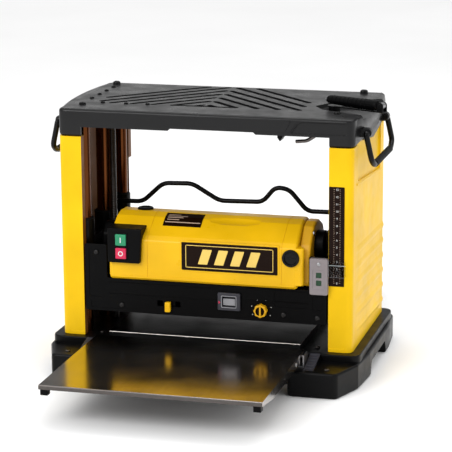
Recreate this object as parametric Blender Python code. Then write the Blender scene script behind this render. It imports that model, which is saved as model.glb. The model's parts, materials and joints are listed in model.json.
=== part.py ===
"""Portable thickness planer.

The planer's frame: origin in the middle of the base's underside, X to the right
of someone feeding stock from the front, Y to the back (the feed direction), Z up.
Everything is in metres. The head is drawn 30 mm above the bed.
"""
import math

import bmesh
import bpy
from mathutils import Matrix, Vector

# ---------------------------------------------------------------- driving sizes
GAP = 0.0003                      # between pieces that touch
BED_TOP = 0.071
CUT_GAP = 0.030                   # bed to knives as drawn
BASE_TOP = 0.0582
BASE_HALF_X = 0.289
ARM_TOP = 0.0455
ARM_FRONT = 0.232
ARM_BACK = 0.222
COVER_HALF_X = 0.268
COVER_FRONT = -0.144
COVER_BACK = 0.149
COVER_TOP = 0.472
COVER_SKIRT = 0.440
COVER_CORNER = 0.4228
COVER_WALL = 0.004
SIDE_OUT = 0.267
SIDE_IN = 0.2245
SIDE_HALF_Y = 0.1445
SIDE_TOP = 0.4225
SIDE_WALL = 0.003
RECESS_LOW = 0.357                # the covers are set back under the handles
RECESS_FALL = 0.017               # the ledge runs down to the back
PLATE_LOW = 0.444
PLATE_HIGH = 0.450

POST_X = 0.229                    # guide posts, each side
POST_FRONT_Y = -0.112
POST_REAR_Y = 0.100
POST_R = 0.010
COLUMN_R = 0.016                  # the thick middle column, at y = 0
SCREW_X = 0.207
SCREW_Y = -0.020
SCREW_R = 0.0065
NUT_R = 0.0098

CHAIN_LOW = 0.4525
CHAIN_HIGH = 0.4565
SPROCKET_R = 0.0190
RECESS_FLOOR = 0.4632             # finger recess under the folded crank

CRANK_ANGLE = math.radians(-24.0)
CRANK_REACH = 0.1015              # hub to the grip's hinge pin
GRIP_BACK = -0.0130               # the folded grip's free end, past the hub
CRANK_ARM_LOW = 0.4727
CRANK_ARM_THICK = 0.0022
GRIP_R = 0.0092
GRIP_Z = CRANK_ARM_LOW + CRANK_ARM_THICK + GAP + GRIP_R

TABLE_HALF_X = 0.1905
TABLE_NEAR = 0.180
TABLE_FAR = 0.482
TABLE_PLATE = 0.003
TABLE_FLANGE_LOW = 0.054
TABLE_HINGE_Y = 0.190
TABLE_HINGE_Z = 0.0605
HINGE_STUD_R = 0.003

HANDLE_X = 0.281
HANDLE_Z = 0.442
HANDLE_DROP = 0.057
HANDLE_FLARE = 0.011              # the loop leans out from the side cover
HANDLE_FRONT_Y = -0.105
HANDLE_REAR_Y = 0.087
HANDLE_R = 0.005
LUG_INSET = 0.015                 # lugs, in from the loop's ends

CUTTER_TIP_R = 0.0245
CUTTER_R = 0.0225
CUTTER_Z = BED_TOP + CUT_GAP + CUTTER_TIP_R
CUTTER_HALF_X = 0.1765
ROLLER_R = 0.0165
ROLLER_Y = 0.058
ROLLER_Z = BED_TOP + CUT_GAP - 0.0005 + ROLLER_R
ROLLER_HALF_X = 0.170

CHEEK_IN = 0.1795                 # carriage end blocks
CHEEK_OUT = 0.2525
CHEEK_LOW = 0.106
CHEEK_HALF_Y = 0.124
ROOF_LOW = 0.156
ROOF_HIGH = 0.168
BOSS_TOP = 0.268
SHROUD_FRONT = -0.1455
SHROUD_HALF_X = 0.2215
PANEL_TOP = 0.229

MOTOR_LEFT = -0.1725
MOTOR_RIGHT = 0.170
CAP_RIGHT = 0.1905
MOTOR_Y = -0.083
MOTOR_Z = 0.2255
MOTOR_FRONT = -0.156
CAP_FRONT = -0.140
SWITCH_FRONT = -0.1650
BELT_X0 = -0.1955
BELT_X1 = -0.1885
MOTOR_PULLEY_R = 0.012
CUTTER_PULLEY_R = 0.019
BELT_THICK = 0.0025

LOCK_BAR_Y = 0.035
LOCK_BAR_Z = 0.268
LOCK_BAR_R = 0.0043

ROUND = 20                        # sides of a round piece
POST_ROUND = 28
SMALL_ROUND = 16


# ------------------------------------------------------------------ small tools
def clear_scene():
    for obj in list(bpy.data.objects):
        bpy.data.objects.remove(obj, do_unlink=True)


def new_object(name, mesh):
    obj = bpy.data.objects.new(name, mesh)
    bpy.context.scene.collection.objects.link(obj)
    return obj


def from_bmesh(name, bm):
    bmesh.ops.recalc_face_normals(bm, faces=bm.faces)
    mesh = bpy.data.meshes.new(name)
    bm.to_mesh(mesh)
    bm.free()
    return new_object(name, mesh)


def place(axis, u, v, w):
    """The point with w along the axis and (u, v) across it."""
    if axis == "X":
        return Vector((w, u, v))
    if axis == "Y":
        return Vector((u, w, v))
    return Vector((u, v, w))


def prism(name, outline, axis, low, high):
    """An outline pushed along an axis: (y, z) for X, (x, z) for Y, (x, y) for Z."""
    bm = bmesh.new()
    near = [bm.verts.new(place(axis, u, v, low)) for u, v in outline]
    far = [bm.verts.new(place(axis, u, v, high)) for u, v in outline]
    bm.faces.new(near)
    bm.faces.new(far)
    count = len(outline)
    for i in range(count):
        j = (i + 1) % count
        bm.faces.new((near[i], near[j], far[j], far[i]))
    return from_bmesh(name, bm)


def rectangle(u0, u1, v0, v1):
    return [(u0, v0), (u1, v0), (u1, v1), (u0, v1)]


def rounded(points, radius, steps=4):
    """An outline with each corner turned into an arc of about this radius."""
    result = []
    count = len(points)
    for i, point in enumerate(points):
        here = Vector(point)
        before = Vector(points[i - 1]) - here
        after = Vector(points[(i + 1) % count]) - here
        half = before.angle(after) / 2
        reach = min(radius / math.tan(half), before.length * 0.49, after.length * 0.49)
        start = here + before.normalized() * reach
        end = here + after.normalized() * reach
        for k in range(steps + 1):
            t = k / steps
            spot = start * (1 - t) ** 2 + here * 2 * t * (1 - t) + end * t ** 2
            result.append((spot.x, spot.y))
    return result


def arc(cu, cv, radius, start, end, steps):
    """Points on an arc, angles in degrees."""
    angles = [math.radians(start + (end - start) * k / steps) for k in range(steps + 1)]
    return [(cu + radius * math.cos(a), cv + radius * math.sin(a)) for a in angles]


def circle(cu, cv, radius, sides):
    return arc(cu, cv, radius, 0, 360, sides)[:-1]


def box(name, low, high):
    return prism(name, rectangle(low[0], high[0], low[1], high[1]), "Z", low[2], high[2])


def cylinder(name, axis, cu, cv, radius, low, high, sides=ROUND):
    return prism(name, circle(cu, cv, radius, sides), axis, low, high)


def turned(name, axis, cu, cv, profile, sides=ROUND):
    """A solid of revolution: (radius, place along the axis), both ends on the axis."""
    bm = bmesh.new()
    rings = []
    for radius, along in profile:
        if radius == 0:
            rings.append([bm.verts.new(place(axis, cu, cv, along))])
        else:
            spots = circle(cu, cv, radius, sides)
            rings.append([bm.verts.new(place(axis, u, v, along)) for u, v in spots])
    for first, second in zip(rings, rings[1:]):
        for i in range(sides):
            j = (i + 1) % sides
            if len(first) == 1:
                bm.faces.new((first[0], second[j], second[i]))
            elif len(second) == 1:
                bm.faces.new((first[i], first[j], second[0]))
            else:
                bm.faces.new((first[i], first[j], second[j], second[i]))
    return from_bmesh(name, bm)


def soft_path(points, radius, steps=4):
    """A path with its corners rounded off."""
    spots = [Vector(p) for p in points]
    result = [spots[0]]
    for before, here, after in zip(spots, spots[1:], spots[2:]):
        back = before - here
        ahead = after - here
        reach = min(radius, back.length * 0.49, ahead.length * 0.49)
        start = here + back.normalized() * reach
        end = here + ahead.normalized() * reach
        for k in range(steps + 1):
            t = k / steps
            result.append(start * (1 - t) ** 2 + here * 2 * t * (1 - t) + end * t ** 2)
    result.append(spots[-1])
    return result


def rod(name, path, radius, sides=8):
    """A round bar along a path, with flat ends."""
    bm = bmesh.new()
    rings = []
    ahead = (path[1] - path[0]).normalized()
    side = ahead.orthogonal().normalized()
    for i, spot in enumerate(path):
        before = path[max(i - 1, 0)]
        after = path[min(i + 1, len(path) - 1)]
        turn = ahead.rotation_difference((after - before).normalized())
        side = turn @ side
        ahead = (after - before).normalized()
        other = ahead.cross(side)
        ring = []
        for k in range(sides):
            a = 2 * math.pi * k / sides
            ring.append(bm.verts.new(spot + radius * (math.cos(a) * side + math.sin(a) * other)))
        rings.append(ring)
    for first, second in zip(rings, rings[1:]):
        for i in range(sides):
            j = (i + 1) % sides
            bm.faces.new((first[i], first[j], second[j], second[i]))
    bm.faces.new(rings[0])
    bm.faces.new(rings[-1])
    return from_bmesh(name, bm)


def settle(obj):
    """Applies the object's modifiers."""
    graph = bpy.context.evaluated_depsgraph_get()
    mesh = bpy.data.meshes.new_from_object(obj.evaluated_get(graph))
    obj.modifiers.clear()
    obj.data = mesh
    return obj


def combine(obj, others, operation):
    for other in others:
        modifier = obj.modifiers.new("shape", "BOOLEAN")
        modifier.operation = operation
        modifier.solver = "EXACT"
        modifier.object = other
        bpy.context.view_layer.update()
        settle(obj)
        bpy.data.objects.remove(other, do_unlink=True)
    return obj


def join(obj, *others):
    return combine(obj, others, "UNION")


def cut(obj, *others):
    return combine(obj, others, "DIFFERENCE")


def soften(obj, width, segments=2, angle=40):
    """Rounds the sharp edges."""
    modifier = obj.modifiers.new("edges", "BEVEL")
    modifier.width = width
    modifier.segments = segments
    modifier.limit_method = "ANGLE"
    modifier.angle_limit = math.radians(angle)
    modifier.use_clamp_overlap = True
    bpy.context.view_layer.update()
    return settle(obj)


def mirrored(obj, name, axis="X"):
    """A copy of a piece on the other side of the middle plane."""
    factors = [-1 if letter == axis else 1 for letter in "XYZ"]
    mesh = obj.data.copy()
    mesh.transform(Matrix.Diagonal((*factors, 1)))
    mesh.flip_normals()
    return new_object(name, mesh)


def pivot(obj, origin):
    """Moves the object's origin to a point and leaves its shape where it is."""
    obj.data.transform(Matrix.Translation(-Vector(origin)))
    obj.location = origin
    return obj


def paint(obj, colour, roughness, metallic=0.0):
    material = bpy.data.materials.new(obj.name + "_finish")
    material.use_nodes = True
    shader = material.node_tree.nodes["Principled BSDF"]
    shader.inputs["Base Color"].default_value = (*colour, 1)
    shader.inputs["Roughness"].default_value = roughness
    shader.inputs["Metallic"].default_value = metallic
    obj.data.materials.clear()
    obj.data.materials.append(material)
    obj.data.shade_smooth()
    obj.data.set_sharp_from_angle(angle=math.radians(35))
    return obj


YELLOW = (0.90, 0.60, 0.03)
ORANGE = (0.75, 0.42, 0.03)
BLACK = (0.02, 0.02, 0.022)
CHARCOAL = (0.06, 0.06, 0.065)
GREY = (0.30, 0.30, 0.32)
STEEL = (0.62, 0.62, 0.62)
BRONZE = (0.55, 0.35, 0.15)


# -------------------------------------------------------------------- the frame
def base_outline():
    right = [(0.170, -ARM_FRONT), (0.258, -ARM_FRONT), (0.283, -0.165), (BASE_HALF_X, -0.090),
             (BASE_HALF_X, 0.090), (0.283, 0.165), (0.240, ARM_BACK), (0.170, ARM_BACK)]
    waist = [(0.170, 0.168), (-0.170, 0.168)]
    left = [(-x, y) for x, y in reversed(right)]
    return right + waist + left + [(-0.170, -0.168), (0.170, -0.168)]


def base_casting():
    """Cast base: a flat bed seat with four arms that carry the folding tables."""
    base = prism("base_casting", rounded(base_outline(), 0.008, 2), "Z", 0.0, ARM_TOP)
    soften(base, 0.0025, 1, 50)
    seat = prism("seat", rounded(rectangle(-0.283, 0.283, -0.160, 0.160), 0.020, 3), "Z",
                 ARM_TOP - 0.006, BASE_TOP)
    join(base, seat)
    for side in (-1, 1):
        for end in (-1, 1):
            ramp = [(end * 0.155, ARM_TOP - 0.004), (end * 0.220, ARM_TOP - 0.004),
                    (end * 0.220, ARM_TOP), (end * 0.161, BASE_TOP + 0.001), (end * 0.155, BASE_TOP + 0.001)]
            low, high = sorted((side * 0.197, side * 0.215))
            join(base, prism("ramp", ramp, "X", low, high))
        low, high = sorted((side * 0.272, side * 0.300))
        arch = [(-0.088, -0.01), (-0.072, 0.026), (0.052, 0.026), (0.070, -0.01)]
        cut(base, prism("arch", arch, "X", low, high))
    hollow = rounded(rectangle(-0.274, 0.274, -0.150, 0.150), 0.015, 2)
    cut(base, prism("hollow", hollow, "Z", -0.01, 0.040))
    for x, low in ((-0.130, 0.012), (0.0, 0.0), (0.130, 0.012)):
        join(base, box("rib", (x - 0.005, -0.155, low), (x + 0.005, 0.155, 0.045)))
    return paint(base, BLACK, 0.6)


def bed_plate():
    """The polished bed that the stock slides over."""
    bed = box("bed_plate", (-0.1775, -0.152, BASE_TOP + GAP), (0.1775, 0.152, BED_TOP))
    soften(bed, 0.001, 1)
    return paint(bed, STEEL, 0.2, 1.0)


def top_plate():
    """Plate that ties the posts together and carries the screws' upper ends."""
    plate = prism("top_plate", rounded(rectangle(-0.250, 0.250, -0.130, 0.130), 0.012, 3), "Z",
                  PLATE_LOW, PLATE_HIGH)
    window = rounded(rectangle(-0.165, 0.165, -0.095, 0.095), 0.012, 3)
    cut(plate, prism("window", window, "Z", PLATE_LOW - 0.01, PLATE_HIGH + 0.01))
    for side in (-1, 1):
        cut(plate, cylinder("hole", "Z", side * SCREW_X, SCREW_Y, SCREW_R + 0.001,
                            PLATE_LOW - 0.01, PLATE_HIGH + 0.01))
    return paint(plate, GREY, 0.5, 0.8)


def posts():
    """Polished steel guides on both sides: front, middle and rear."""
    places = (("post_front", POST_FRONT_Y, POST_R), ("column", 0.0, COLUMN_R),
              ("post_rear", POST_REAR_Y, POST_R))
    for word, side in (("left", -1), ("right", 1)):
        for name, y, radius in places:
            post = cylinder(f"{name}_{word}", "Z", side * POST_X, y, radius,
                            BASE_TOP + GAP, PLATE_LOW - GAP, POST_ROUND)
            paint(post, STEEL, 0.15, 1.0)


def side_cover_right():
    """Deep plastic cover over the posts, open towards the head, with a handle recess."""
    low = BASE_TOP + GAP
    outer = rounded(rectangle(SIDE_IN, SIDE_OUT, -SIDE_HALF_Y, SIDE_HALF_Y), 0.011, 4)
    outer = [(max(x, SIDE_IN), y) for x, y in outer]
    cover = prism("side_cover_right", outer, "Z", low, SIDE_TOP)
    wall = SIDE_WALL
    hollow = rectangle(SIDE_IN + wall, SIDE_OUT - wall, -SIDE_HALF_Y + wall, SIDE_HALF_Y - wall)
    mouth = rectangle(SIDE_IN - 0.01, SIDE_IN + wall + 0.001, -0.1282, 0.1282)
    cut(cover, prism("hollow", rounded(hollow, 0.008, 3), "Z", low - 0.01, SIDE_TOP + 0.01),
        prism("mouth", mouth, "Z", low - 0.01, SIDE_TOP + 0.01))
    depth = 0.004
    panel = [(-0.112, RECESS_LOW - 0.007), (0.112, RECESS_LOW - RECESS_FALL - 0.007),
             (0.112, SIDE_TOP), (-0.112, SIDE_TOP)]
    back = prism("back", rounded(panel, 0.010, 2), "X", SIDE_OUT - depth - wall, SIDE_OUT - 0.001)
    recess = [(-0.105, RECESS_LOW), (0.105, RECESS_LOW - RECESS_FALL),
              (0.105, SIDE_TOP + 0.02), (-0.105, SIDE_TOP + 0.02)]
    recess = rounded(recess, 0.010, 3)
    join(cover, back)
    cut(cover, prism("recess", recess, "X", SIDE_OUT - depth, SIDE_OUT + 0.01))
    notch = [(-0.064, 0.430), (-0.064, SIDE_TOP - 0.0001), (0.030, 0.4112),
             (0.104, SIDE_TOP - 0.0001), (0.104, 0.430)]
    cut(cover, prism("notch", notch, "X", SIDE_OUT - depth - wall - 0.003, SIDE_OUT + 0.01))
    return paint(cover, YELLOW, 0.35)


def side_bulge(side):
    """The swelling of the lid's side above a carrying handle, tapering down to a point."""
    rim = [(0.265, -0.136), (0.2735, -0.080), (0.2800, -0.022), (0.2805, 0.020), (0.2795, 0.066),
           (0.2735, 0.106), (0.265, 0.138)]
    bm = bmesh.new()
    for x, y in rim:
        for z in (0.4520, COVER_TOP - 0.003):
            bm.verts.new((side * x, y, z))
        bm.verts.new((side * (x - 0.003), y, COVER_TOP))
    for x, y, z in ((0.2655, -0.060, COVER_CORNER), (0.2655, 0.030, 0.4118), (0.2655, 0.100, COVER_CORNER)):
        bm.verts.new((side * x, y, z))
    bmesh.ops.convex_hull(bm, input=bm.verts)
    return from_bmesh("bulge", bm)


def handle_lug(side, y):
    """Lug on the lid's skirt that an end of a carrying handle turns in."""
    outline = [(0.2660, 0.4345), (HANDLE_X, 0.4345)] + arc(HANDLE_X, HANDLE_Z, 0.0075, -90, 90, 6)[1:]
    outline.append((0.2660, 0.4495))
    outline = [(side * x, z) for x, z in outline]
    return prism("lug", outline, "Y", y - 0.006, y + 0.006)


def top_cover():
    """Moulded lid with a skirt that drops at the corners, and the crank's finger recess."""
    x, wall = COVER_HALF_X, COVER_WALL
    lid = prism("top_cover", rounded(rectangle(-x, x, COVER_FRONT, COVER_BACK), 0.013, 4), "Z",
                COVER_CORNER, COVER_TOP)
    soften(lid, 0.004, 2, 60)
    low = prism("low", rectangle(-SIDE_IN, SIDE_IN, COVER_FRONT - 0.01, COVER_BACK + 0.01), "Z",
                COVER_CORNER - 0.01, COVER_SKIRT)
    cut(lid, low)
    inner = rounded(rectangle(-x + wall, x - wall, COVER_FRONT + wall, COVER_BACK - wall), 0.010, 3)
    cut(lid, prism("hollow", inner, "Z", COVER_CORNER - 0.01, COVER_TOP - COVER_WALL))
    for side in (-1, 1):
        low, high = sorted((side * (x - COVER_WALL), side * x))
        tip = [(-0.060, COVER_CORNER + 0.006), (-0.060, COVER_CORNER), (0.030, 0.4118),
               (0.100, COVER_CORNER), (0.100, COVER_CORNER + 0.006)]
        join(lid, prism("tip", tip, "X", low, high), side_bulge(side))
        join(lid, handle_lug(side, HANDLE_FRONT_Y + LUG_INSET), handle_lug(side, HANDLE_REAR_Y - LUG_INSET))
        cut(lid, cylinder("bore", "Y", side * HANDLE_X, HANDLE_Z, HANDLE_R + 0.0006, -0.11, 0.11,
                          SMALL_ROUND))
    floor = [(0.168, -0.020), (0.190, 0.024), (0.2655, 0.083), (0.2655, -0.092), (0.190, -0.056)]
    dish = [(0.172, -0.020), (0.193, 0.021), (0.280, 0.088), (0.280, -0.094), (0.193, -0.053)]
    join(lid, prism("floor", floor, "Z", RECESS_FLOOR - 0.003, COVER_TOP - COVER_WALL + 0.001))
    cut(lid, prism("dish", rounded(dish, 0.006, 2), "Z", RECESS_FLOOR, COVER_TOP + 0.01),
        cylinder("hole", "Z", SCREW_X, SCREW_Y, 0.009, RECESS_FLOOR - 0.02, COVER_TOP + 0.01))
    return paint(lid, CHARCOAL, 0.5)


def scale_strip():
    """Height scale on the front of the right-hand cover."""
    strip = box("scale_strip", (0.2250, -SIDE_HALF_Y - GAP - 0.0006, 0.178),
                (0.2525, -SIDE_HALF_Y - GAP, 0.355))
    return paint(strip, (0.03, 0.015, 0.01), 0.3)


def tool_clip():
    """Clip under the lid's front edge that holds the adjusting wrench."""
    clip = box("tool_clip", (0.124, -0.1396, 0.4405), (0.215, -0.1370, 0.4560))
    hook = [(0.1320, 0.4415), (0.1320, 0.4355), (0.1365, 0.4290), (0.1410, 0.4355), (0.1410, 0.4415)]
    join(clip, prism("hook", hook, "Y", -0.1392, -0.1150))
    return paint(clip, BLACK, 0.5)


def hex_wrench():
    """Wrench for the knife bolts, stored in the clip."""
    bend = [(0.2150, -0.110, 0.4385), (0.1960, -0.110, 0.4385), (0.1780, -0.110, 0.4265),
            (0.1580, -0.110, 0.4245)]
    wrench = rod("hex_wrench", soft_path(bend, 0.004, 2), 0.0035, 6)
    return paint(wrench, BLACK, 0.4, 0.6)


def drive_chain():
    """Loop that makes both screws turn together."""
    chain = []
    for radius in (SPROCKET_R + 0.0025, SPROCKET_R + 0.0004):
        outline = arc(SCREW_X, SCREW_Y, radius, -90, 90, 12)
        outline += arc(-SCREW_X, SCREW_Y, radius, 90, 270, 12)
        chain.append(prism("drive_chain" if not chain else "inside", outline, "Z",
                           CHAIN_LOW - 0.001 * len(chain), CHAIN_HIGH + 0.001 * len(chain)))
    cut(chain[0], chain[1])
    return paint(chain[0], GREY, 0.4, 0.9)


def table_brackets():
    """Four brackets, each with the stud that a table turns on."""
    for word, end in (("front", -1), ("rear", 1)):
        y_low, y_high = sorted((end * (TABLE_HINGE_Y - 0.013), end * (TABLE_HINGE_Y + 0.015)))
        foot = box("bracket", (0.1755, y_low, ARM_TOP + GAP), (0.1952, y_high, ARM_TOP + GAP + 0.002))
        cheek = box("cheek", (0.1930, y_low, ARM_TOP + 0.001), (0.1952, y_high, 0.0670))
        stud = cylinder("stud", "X", end * TABLE_HINGE_Y, TABLE_HINGE_Z, HINGE_STUD_R, 0.1840, 0.1945,
                        SMALL_ROUND)
        head = cylinder("head", "X", end * TABLE_HINGE_Y, TABLE_HINGE_Z, 0.0052, 0.1846, 0.1876, 6)
        join(foot, cheek, stud, head)
        foot.name = f"table_bracket_{word}_right"
        paint(foot, STEEL, 0.35, 1.0)
        other = mirrored(foot, f"table_bracket_{word}_left")
        paint(other, STEEL, 0.35, 1.0)


# ------------------------------------------------------------- folding tables
def table(name, end):
    """Pressed steel table with deep side flanges. It folds up about two studs."""
    near, far = end * TABLE_NEAR, end * TABLE_FAR
    y_low, y_high = sorted((near, far))
    plate = box(name, (-TABLE_HALF_X, y_low, BED_TOP - TABLE_PLATE), (TABLE_HALF_X, y_high, BED_TOP))
    lip = sorted((far, far - end * 0.0035))
    join(plate, box("lip", (-TABLE_HALF_X, lip[0], BED_TOP - 0.007), (TABLE_HALF_X, lip[1], BED_TOP - 0.001)))
    for side in (-1, 1):
        low, high = sorted((side * (TABLE_HALF_X - 0.0025), side * TABLE_HALF_X))
        outline = [(near, BED_TOP - 0.001), (near, TABLE_FLANGE_LOW + 0.004),
                   (near + end * 0.004, TABLE_FLANGE_LOW), (far - end * 0.070, TABLE_FLANGE_LOW),
                   (far, BED_TOP - 0.008), (far, BED_TOP - 0.001)]
        join(plate, prism("flange", outline, "X", low, high))
        cut(plate, cylinder("hole", "X", end * TABLE_HINGE_Y, TABLE_HINGE_Z, HINGE_STUD_R + 0.0005,
                            low - 0.01, high + 0.01, SMALL_ROUND))
    paint(plate, STEEL, 0.2, 1.0)
    return pivot(plate, (0, end * TABLE_HINGE_Y, TABLE_HINGE_Z))


# ------------------------------------------------------------ carrying handles
def carry_handle_right():
    """Bent rod that hangs from its lugs."""
    bottom = HANDLE_Z - HANDLE_DROP
    front, rear = HANDLE_FRONT_Y, HANDLE_REAR_Y
    out = HANDLE_X + HANDLE_FLARE
    corners = [(HANDLE_X, front + 0.023, HANDLE_Z), (HANDLE_X, front, HANDLE_Z),
               (out - 0.001, front, bottom + 0.012), (out, front + 0.018, bottom),
               (out, rear - 0.018, bottom), (out - 0.001, rear, bottom + 0.012),
               (HANDLE_X, rear, HANDLE_Z), (HANDLE_X, rear - 0.023, HANDLE_Z)]
    handle = rod("carry_handle_right", soft_path(corners, 0.007, 3), HANDLE_R)
    return paint(handle, BLACK, 0.35)


# --------------------------------------------------------- lift screws and crank
def lift_screw(word, side):
    """Screw with its chain sprocket. The right-hand one reaches up into the crank."""
    top = CHAIN_HIGH + 0.001 if side < 0 else 0.4705
    profile = [(0, BASE_TOP + GAP), (SCREW_R, BASE_TOP + GAP), (SCREW_R, CHAIN_LOW - 0.001),
               (0.011, CHAIN_LOW - 0.001), (SPROCKET_R, CHAIN_LOW), (SPROCKET_R, CHAIN_HIGH),
               (SCREW_R, CHAIN_HIGH + 0.001)]
    if side > 0:
        profile.append((SCREW_R, top))
    profile.append((0, top))
    screw = turned(f"lift_screw_{word}", "Z", side * SCREW_X, SCREW_Y, profile)
    paint(screw, STEEL, 0.3, 1.0)
    return pivot(screw, (side * SCREW_X, SCREW_Y, BASE_TOP + GAP))


def crank_place():
    """Turns a shape drawn along +X from the hub to where the folded crank lies."""
    return Matrix.Translation((SCREW_X, SCREW_Y, 0)) @ Matrix.Rotation(CRANK_ANGLE, 4, "Z")


def crank_arm():
    """Hub, flat arm and the fork that the grip folds in, drawn along +X."""
    hub_low = RECESS_FLOOR + 0.0005
    arm_high = CRANK_ARM_LOW + CRANK_ARM_THICK
    outline = arc(0, 0, 0.0115, 40, 320, 12)
    outline += [(CRANK_REACH - 0.006, -0.0070), (CRANK_REACH + 0.0065, -0.0070),
                (CRANK_REACH + 0.0065, 0.0070), (CRANK_REACH - 0.006, 0.0070)]
    arm = prism("crank_arm", outline, "Z", CRANK_ARM_LOW, arm_high)
    join(arm, cylinder("hub", "Z", 0, 0, 0.0105, hub_low, CRANK_ARM_LOW + 0.001))
    cut(arm, cylinder("socket", "Z", 0, 0, SCREW_R + 0.0003, hub_low - 0.01, 0.4718))
    for side in (-1, 1):
        low, high = sorted((side * 0.0045, side * 0.0070))
        ear = [(CRANK_REACH - 0.006, CRANK_ARM_LOW + 0.001), (CRANK_REACH + 0.0065, CRANK_ARM_LOW + 0.001)]
        ear += arc(CRANK_REACH, GRIP_Z, 0.0062, 0, 180, 8)
        join(arm, prism("ear", ear, "Y", low, high))
    join(arm, cylinder("pin", "Y", CRANK_REACH, GRIP_Z, 0.0020, -0.0060, 0.0060, 12))
    arm.data.transform(crank_place())
    paint(arm, BLACK, 0.45)
    return pivot(arm, (SCREW_X, SCREW_Y, CRANK_ARM_LOW))


def crank_hinge():
    return crank_place() @ Vector((CRANK_REACH, 0, GRIP_Z))


def crank_spindle():
    """Knuckle and core rod that the grip turns on."""
    knuckle = cylinder("crank_spindle", "Y", CRANK_REACH, GRIP_Z, 0.0058, -0.0041, 0.0041, SMALL_ROUND)
    end = GRIP_BACK - 0.0004
    core = turned("core", "X", 0, GRIP_Z, [(0, end - 0.0022), (0.0048, end - 0.0022), (0.0058, end),
                                           (0.0030, end), (0.0030, CRANK_REACH - 0.003),
                                           (0, CRANK_REACH - 0.003)], 12)
    join(knuckle, core)
    cut(knuckle, cylinder("eye", "Y", CRANK_REACH, GRIP_Z, 0.0025, -0.01, 0.01, 12))
    knuckle.data.transform(crank_place())
    paint(knuckle, STEEL, 0.3, 1.0)
    return pivot(knuckle, crank_hinge())


def crank_grip():
    """Plastic grip, folded back along the arm towards the hub."""
    near, far = GRIP_BACK, CRANK_REACH - 0.0070
    grip = turned("crank_grip", "X", 0, GRIP_Z, [
        (0, near), (GRIP_R - 0.0040, near), (GRIP_R - 0.0018, near + 0.003),
        (GRIP_R - 0.0010, near + 0.018), (GRIP_R, far - 0.030), (GRIP_R, far - 0.004),
        (GRIP_R - 0.0008, far - 0.001), (GRIP_R - 0.0020, far), (0, far)])
    cut(grip, cylinder("bore", "X", 0, GRIP_Z, 0.0035, near - 0.01, far + 0.01, 12))
    grip.data.transform(crank_place())
    paint(grip, BLACK, 0.5)
    return pivot(grip, crank_hinge())


# ------------------------------------------------------------------ the carriage
def carriage_casting():
    """Head casting: a roof over the rollers and cutter, and end blocks on the posts."""
    body = box("carriage_casting", (-0.200, -0.118, ROOF_LOW), (0.200, 0.118, ROOF_HIGH))
    for end in (-1, 1):
        low, high = sorted((end * 0.112, end * 0.118))
        join(body, box("wall", (-0.190, low, 0.108), (0.190, high, ROOF_LOW + 0.002)))
    for side in (-1, 1):
        low, high = sorted((side * CHEEK_IN, side * CHEEK_OUT))
        block = prism("block", rounded(rectangle(low, high, -CHEEK_HALF_Y, CHEEK_HALF_Y), 0.008, 3), "Z",
                      CHEEK_LOW, ROOF_HIGH)
        join(body, block)
        x = side * POST_X
        join(body, cylinder("boss", "Z", x, POST_FRONT_Y + 0.001, 0.0150, ROOF_HIGH - 0.01, BOSS_TOP),
             cylinder("boss", "Z", x, 0, 0.0215, ROOF_HIGH - 0.01, BOSS_TOP - 0.010),
             cylinder("boss", "Z", x, POST_REAR_Y, 0.0150, ROOF_HIGH - 0.01, BOSS_TOP))
        low, high = sorted((side * 0.2255, side * 0.2350))
        join(body, box("web", (low, POST_FRONT_Y, ROOF_HIGH - 0.01), (high, POST_REAR_Y, 0.226)))
        lug = [(0.010, 0.215), (LOCK_BAR_Y + 0.009, 0.215), (LOCK_BAR_Y + 0.009, LOCK_BAR_Z)]
        lug += arc(LOCK_BAR_Y, LOCK_BAR_Z, 0.009, 0, 180, 8)[1:] + [(0.012, 0.250)]
        join(body, prism("lug", lug, "X", low, high))
        cut(body, cylinder("bore", "Z", x, POST_FRONT_Y, POST_R + 0.0005, 0.05, 0.30),
            cylinder("bore", "Z", x, 0, COLUMN_R + 0.0005, 0.05, 0.30),
            cylinder("bore", "Z", x, POST_REAR_Y, POST_R + 0.0005, 0.05, 0.30),
            cylinder("nut_pocket", "Z", side * SCREW_X, SCREW_Y, NUT_R + 0.0003, 0.05, 0.30),
            cylinder("bar_bore", "X", LOCK_BAR_Y, LOCK_BAR_Z, LOCK_BAR_R + 0.0006, low - 0.005, high + 0.005,
                     SMALL_ROUND))
        depth = sorted((side * (CHEEK_IN - 0.01), side * 0.1880))
        for y in (-ROLLER_Y, ROLLER_Y):
            cut(body, cylinder("roller_bore", "X", y, ROLLER_Z, 0.0068, *depth, SMALL_ROUND))
        depth = sorted((side * (CHEEK_IN - 0.01), side * 0.1985))
        cut(body, cylinder("cutter_bore", "X", 0, CUTTER_Z, 0.0102, *depth))
    cut(body, box("chip_slot", (-0.150, 0.0270, ROOF_LOW - 0.01), (0.150, 0.0400, ROOF_HIGH + 0.01)))
    pocket = rectangle(-0.064, 0.0255, 0.09, 0.19)
    cut(body, prism("belt_pocket", pocket, "X", BELT_X0 - 0.0012, BELT_X1 + 0.0018))
    return paint(body, BLACK, 0.5, 0.3)


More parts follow.
